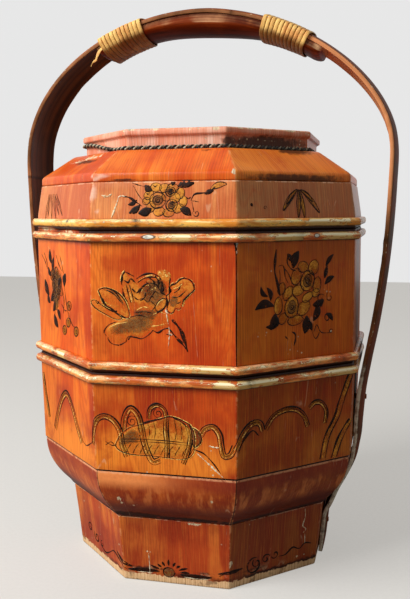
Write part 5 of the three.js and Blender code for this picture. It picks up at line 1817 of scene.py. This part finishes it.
def winding_outline(depth):
    """Where the strand runs round strap and grip, as (across, out) and the way it faces: over the strap's
    arched top, down its edge, round the belly as half an ellipse, and up the other edge."""
    half, grip_half = STRAP.width / 2, GRIP.width / 2
    side = depth * GRIP.side_share
    belly = depth - side
    y = half * np.cos(np.linspace(0, math.pi, TOP_STEPS))
    top = stacked(y, STRAP.thickness + curl_out(y, STRAP.curl), 2 * STRAP.curl * y / half ** 2, 1)
    a = np.linspace(0, math.pi, BELLY_STEPS)
    x, y = np.cos(a), np.sin(a)
    below = stacked(-grip_half * x, -side - belly * y, -x / grip_half, -y / belly)
    thick = STRAP.thickness
    edge = np.array([(half, 0, 1, -0.1), (half, 0.5 * thick, 1, 0), (half, thick, 1, 0)])
    rows = np.vstack([top, edge[::-1] * [-1, 1, -1, 1], below, edge])
    facing = unit(rows[:, 2:])
    return rows[:, :2] + facing * WINDING.stand_off, facing


def make_winding(side, middle_x):
    """A point of the strand keeps to the outline of its own place and moves on by one pitch each turn. The
    strand's section is a superellipse, and slow noise along it shifts it, loosens it and narrows it."""
    middle = length_at_x(middle_x)
    outline, facing = winding_outline(float(grip_depth(middle)))
    steps = len(outline)
    count = WINDING.turns * steps
    i = np.arange(count + 1)
    at = middle + (i - count / 2) * WINDING.pitch / steps
    first, last = [winding_outline(float(grip_depth(end)))[0] for end in (at[0], at[-1])]
    share = (i / count)[:, None]
    place = first[i % steps] * (1 - share) + last[i % steps] * share
    face = facing[i % steps]
    turn = i / steps
    wobble = clouds(stacked(turn, 0, middle), 0.55, 4) - 0.5
    place = place + face * (LOOSENESS * clouds(stacked(turn, 0, 0), 1.7, 8))[:, None]
    centre = carry(at + WANDER * wobble, place[:, 0], place[:, 1])
    _, out_of = on_route(at)
    facing_3d = stacked(face[:, 1] * out_of[:, 0], face[:, 0], face[:, 1] * out_of[:, 1])
    wide = unit(np.cross(unit(np.gradient(centre, axis=0)), facing_3d))
    t = full_turn(10)
    flat = np.sign(np.cos(t)) * np.abs(np.cos(t)) ** 0.75, np.sign(np.sin(t)) * np.abs(np.sin(t)) ** 0.8
    swell = (1 - NARROWING * clouds(stacked(turn, 0, 0), 0.8, 12))[:, None, None]
    points = (centre[:, None] + wide[:, None] * (WINDING.width / 2 * flat[0])[:, None] * swell
              + facing_3d[:, None] * (WINDING.thickness / 2 * flat[1])[:, None])
    name = f"handle_winding_{side}"
    # The second attribute marks where the strand runs under the grip, which the rattan darkens as painted
    # shade and dirt.
    attributes = {"run": stacked(t, turn[:, None], 0), "below": ease(place[:, 1:], 2 * MM, -9 * MM)}
    return new_piece(name, points, tube_faces(points), rattan, "base", "rattan", [name], attributes)


def rattan_material():
    s = Shader("rattan")
    run = s.attribute("run")
    turn = s.noise(run, (0.15, 1.4, 1))
    fibre = s.noise(run, (7, 3, 1), 4, 0.7)
    stain = s.speckle(60, 4, 0.6)
    s.coat("bc7a2a")
    s.coat("ffd27a", (turn * 0.5 + fibre * 0.5).rise(0.34, 0.54))
    s.coat("fae6a8", fibre.rise(0.56, 0.70) * 0.6)
    s.coat("c4641e", (stain * 0.5 + turn * 0.5).rise(0.48, 0.58) * 0.6)
    # Painted shade, with dirt, where the strand runs under the grip.
    s.coat("5a3a16", (s.numbers("below")[0] * 0.7 + stain * 0.5).rise(0.55, 1.0) * 0.8)
    return s.finish(0.45 + fibre * 0.2, s.bump(fibre, 0.2 * MM, 0.6), Specular_IOR_Level=0.3)


rattan = rattan_material()
windings = [make_winding(side, x) for side, x in WINDING_MIDDLES.items()]
print("windings:", [len(w.data.polygons) for w in windings], "faces")

# %% [markdown]
# ## A torn strand
# At the grip's left end a loose strand of rattan has torn off and curls away from the strap. It is a flat
# band along a short curve, twisted as it goes, and its end is frayed narrow.

# %% Torn strand
TORN = SimpleNamespace(width=3.6 * MM, thickness=0.7 * MM, lean=0.6, twist=2.4, fray=0.55)
TORN_PATH = "-7 -27.4 -3 / -3 -28.3 -4.6 / 1.5 -28.6 -7.2 / 5 -28 -9.6 / 9 -27.2 -9.4 / 13 -27.6 -11.5"


def make_torn_strand():
    """The path is (length beyond the grip's end, across, out), in millimetres. The band's width turns about
    the path by the twist, and its half width shrinks with the square of the way."""
    path = spline(np.array(rows_of(TORN_PATH)) * MM, 40)
    share = np.linspace(0, 1, len(path))[:, None]
    angle = TORN.lean + TORN.twist * share
    t = full_turn(10)
    wide = TORN.width / 2 * (1 - TORN.fray * share ** 2) * np.cos(t)
    thick = TORN.thickness / 2 * np.sin(t)
    across = path[:, 1:2] + wide * np.cos(angle) * 0.35 - thick * np.sin(angle)
    out = path[:, 2:] + wide * np.sin(angle) + thick * np.cos(angle)
    points = carry(grip_end + path[:, :1] + wide * 0.45 * np.cos(angle), across, out)
    return new_piece(
        "handle_torn_strand", points, tube_faces(points), rattan, "base", "rattan", (),
        {"run": stacked(t, 3 * share, 0), "below": 0})


torn = make_torn_strand()
print("torn strand:", len(torn.data.polygons), "faces")

# %% [markdown]
# ## Pegs
# Four bamboo pegs fasten the strap to the foot and the lower wall. Their heads were cut and rounded off.

# %% Pegs
PEG_ROUND = 0.7 * MM


def make_peg(node):
    """A turned form along X: radius follows the length, and eases to nothing at both rounded ends."""
    low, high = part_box(node)
    radius = (high.z - low.z) / 2
    a = np.linspace(0, math.pi / 2, 6)
    x = np.concatenate([low.x + PEG_ROUND * (1 - np.cos(a)), high.x - PEG_ROUND * (1 - np.cos(a[::-1]))])
    r = radius - PEG_ROUND + PEG_ROUND * np.concatenate([np.sin(a), np.sin(a[::-1])])
    t = full_turn(24)
    points = stacked(x[:, None], r[:, None] * np.cos(t), (high.z + low.z) / 2 + r[:, None] * np.sin(t))
    return new_piece(
        node, points, tube_faces(points), dark_bamboo, "base", "dark_bamboo", [node],
        {"run": points[..., [1, 0, 2]], "wear_and_light": 0.35, "edge": 0, "node": 0}, sharp=50)


pegs = [make_peg(f"{place}_peg_{side}") for place in ("foot", "wall") for side in ("left", "right")]
print("pegs:", [p.name for p in pegs])

# %% [markdown]
# ## Floor and light
# The basket stands on a plain pale floor, lit by one soft lamp from the front left. The world gives the rest
# of the light, and is white only where the camera, glass or a mirror looks at it.

# %% Floor and light
FLOOR_SIZE = 6.0
KEY = SimpleNamespace(direction=Vector((-0.56, -0.60, 0.60)), distance=1.8, size=1.0, power=42.0)
KEY_TARGET = Vector((0, 0, 0.25))
WORLD_STRENGTH = 0.20
FLOOR_GLOW = 1.3


def add_floor():
    mesh = bpy.data.meshes.new("floor")
    half = FLOOR_SIZE / 2
    corners = [(x * half, y * half, 0) for x, y in ((-1, -1), (1, -1), (1, 1), (-1, 1))]
    mesh.from_pydata(corners, [], [(0, 1, 2, 3)])
    s = Shader("floor")
    s.coat("989692")
    s.coat("9e9c98", s.speckle(300, 3))
    seen = s.node("ShaderNodeLightPath", {}, "Is Camera Ray")
    mesh.materials.append(s.finish(0.9, Emission_Color=s.base, Emission_Strength=seen * FLOOR_GLOW))
    floor = bpy.data.objects.new("floor", mesh)
    bpy.context.scene.collection.objects.link(floor)


def add_lamp():
    data = bpy.data.lights.new("key", "AREA")
    data.size = KEY.size
    data.energy = KEY.power
    lamp = bpy.data.objects.new("key", data)
    lamp.location = KEY_TARGET + KEY.direction.normalized() * KEY.distance
    lamp.rotation_euler = (KEY_TARGET - lamp.location).to_track_quat("-Z", "Y").to_euler()
    bpy.context.scene.collection.objects.link(lamp)


def add_world():
    """A dim world for lighting, and a white one for rays from the camera, through glass or off a mirror:
    strength = dim + (1 - dim) * seen."""
    s = Shader("studio", "worlds")
    rays = ("Is Camera Ray", "Is Glossy Ray", "Is Transmission Ray")
    camera_ray, glossy_ray, glass_ray = s.node("ShaderNodeLightPath", {}, rays)
    strength = WORLD_STRENGTH + (1 - WORLD_STRENGTH) * camera_ray.most(glossy_ray).most(glass_ray)
    background = s.node("ShaderNodeBackground", {"Strength": strength})
    s.node("ShaderNodeOutputWorld", {"Surface": background})
    bpy.context.scene.world = s.owner


add_floor()
add_lamp()
add_world()
bpy.context.scene.view_settings.view_transform = "Standard"
print("lamp:", KEY.power, "W at", KEY.distance, "m")
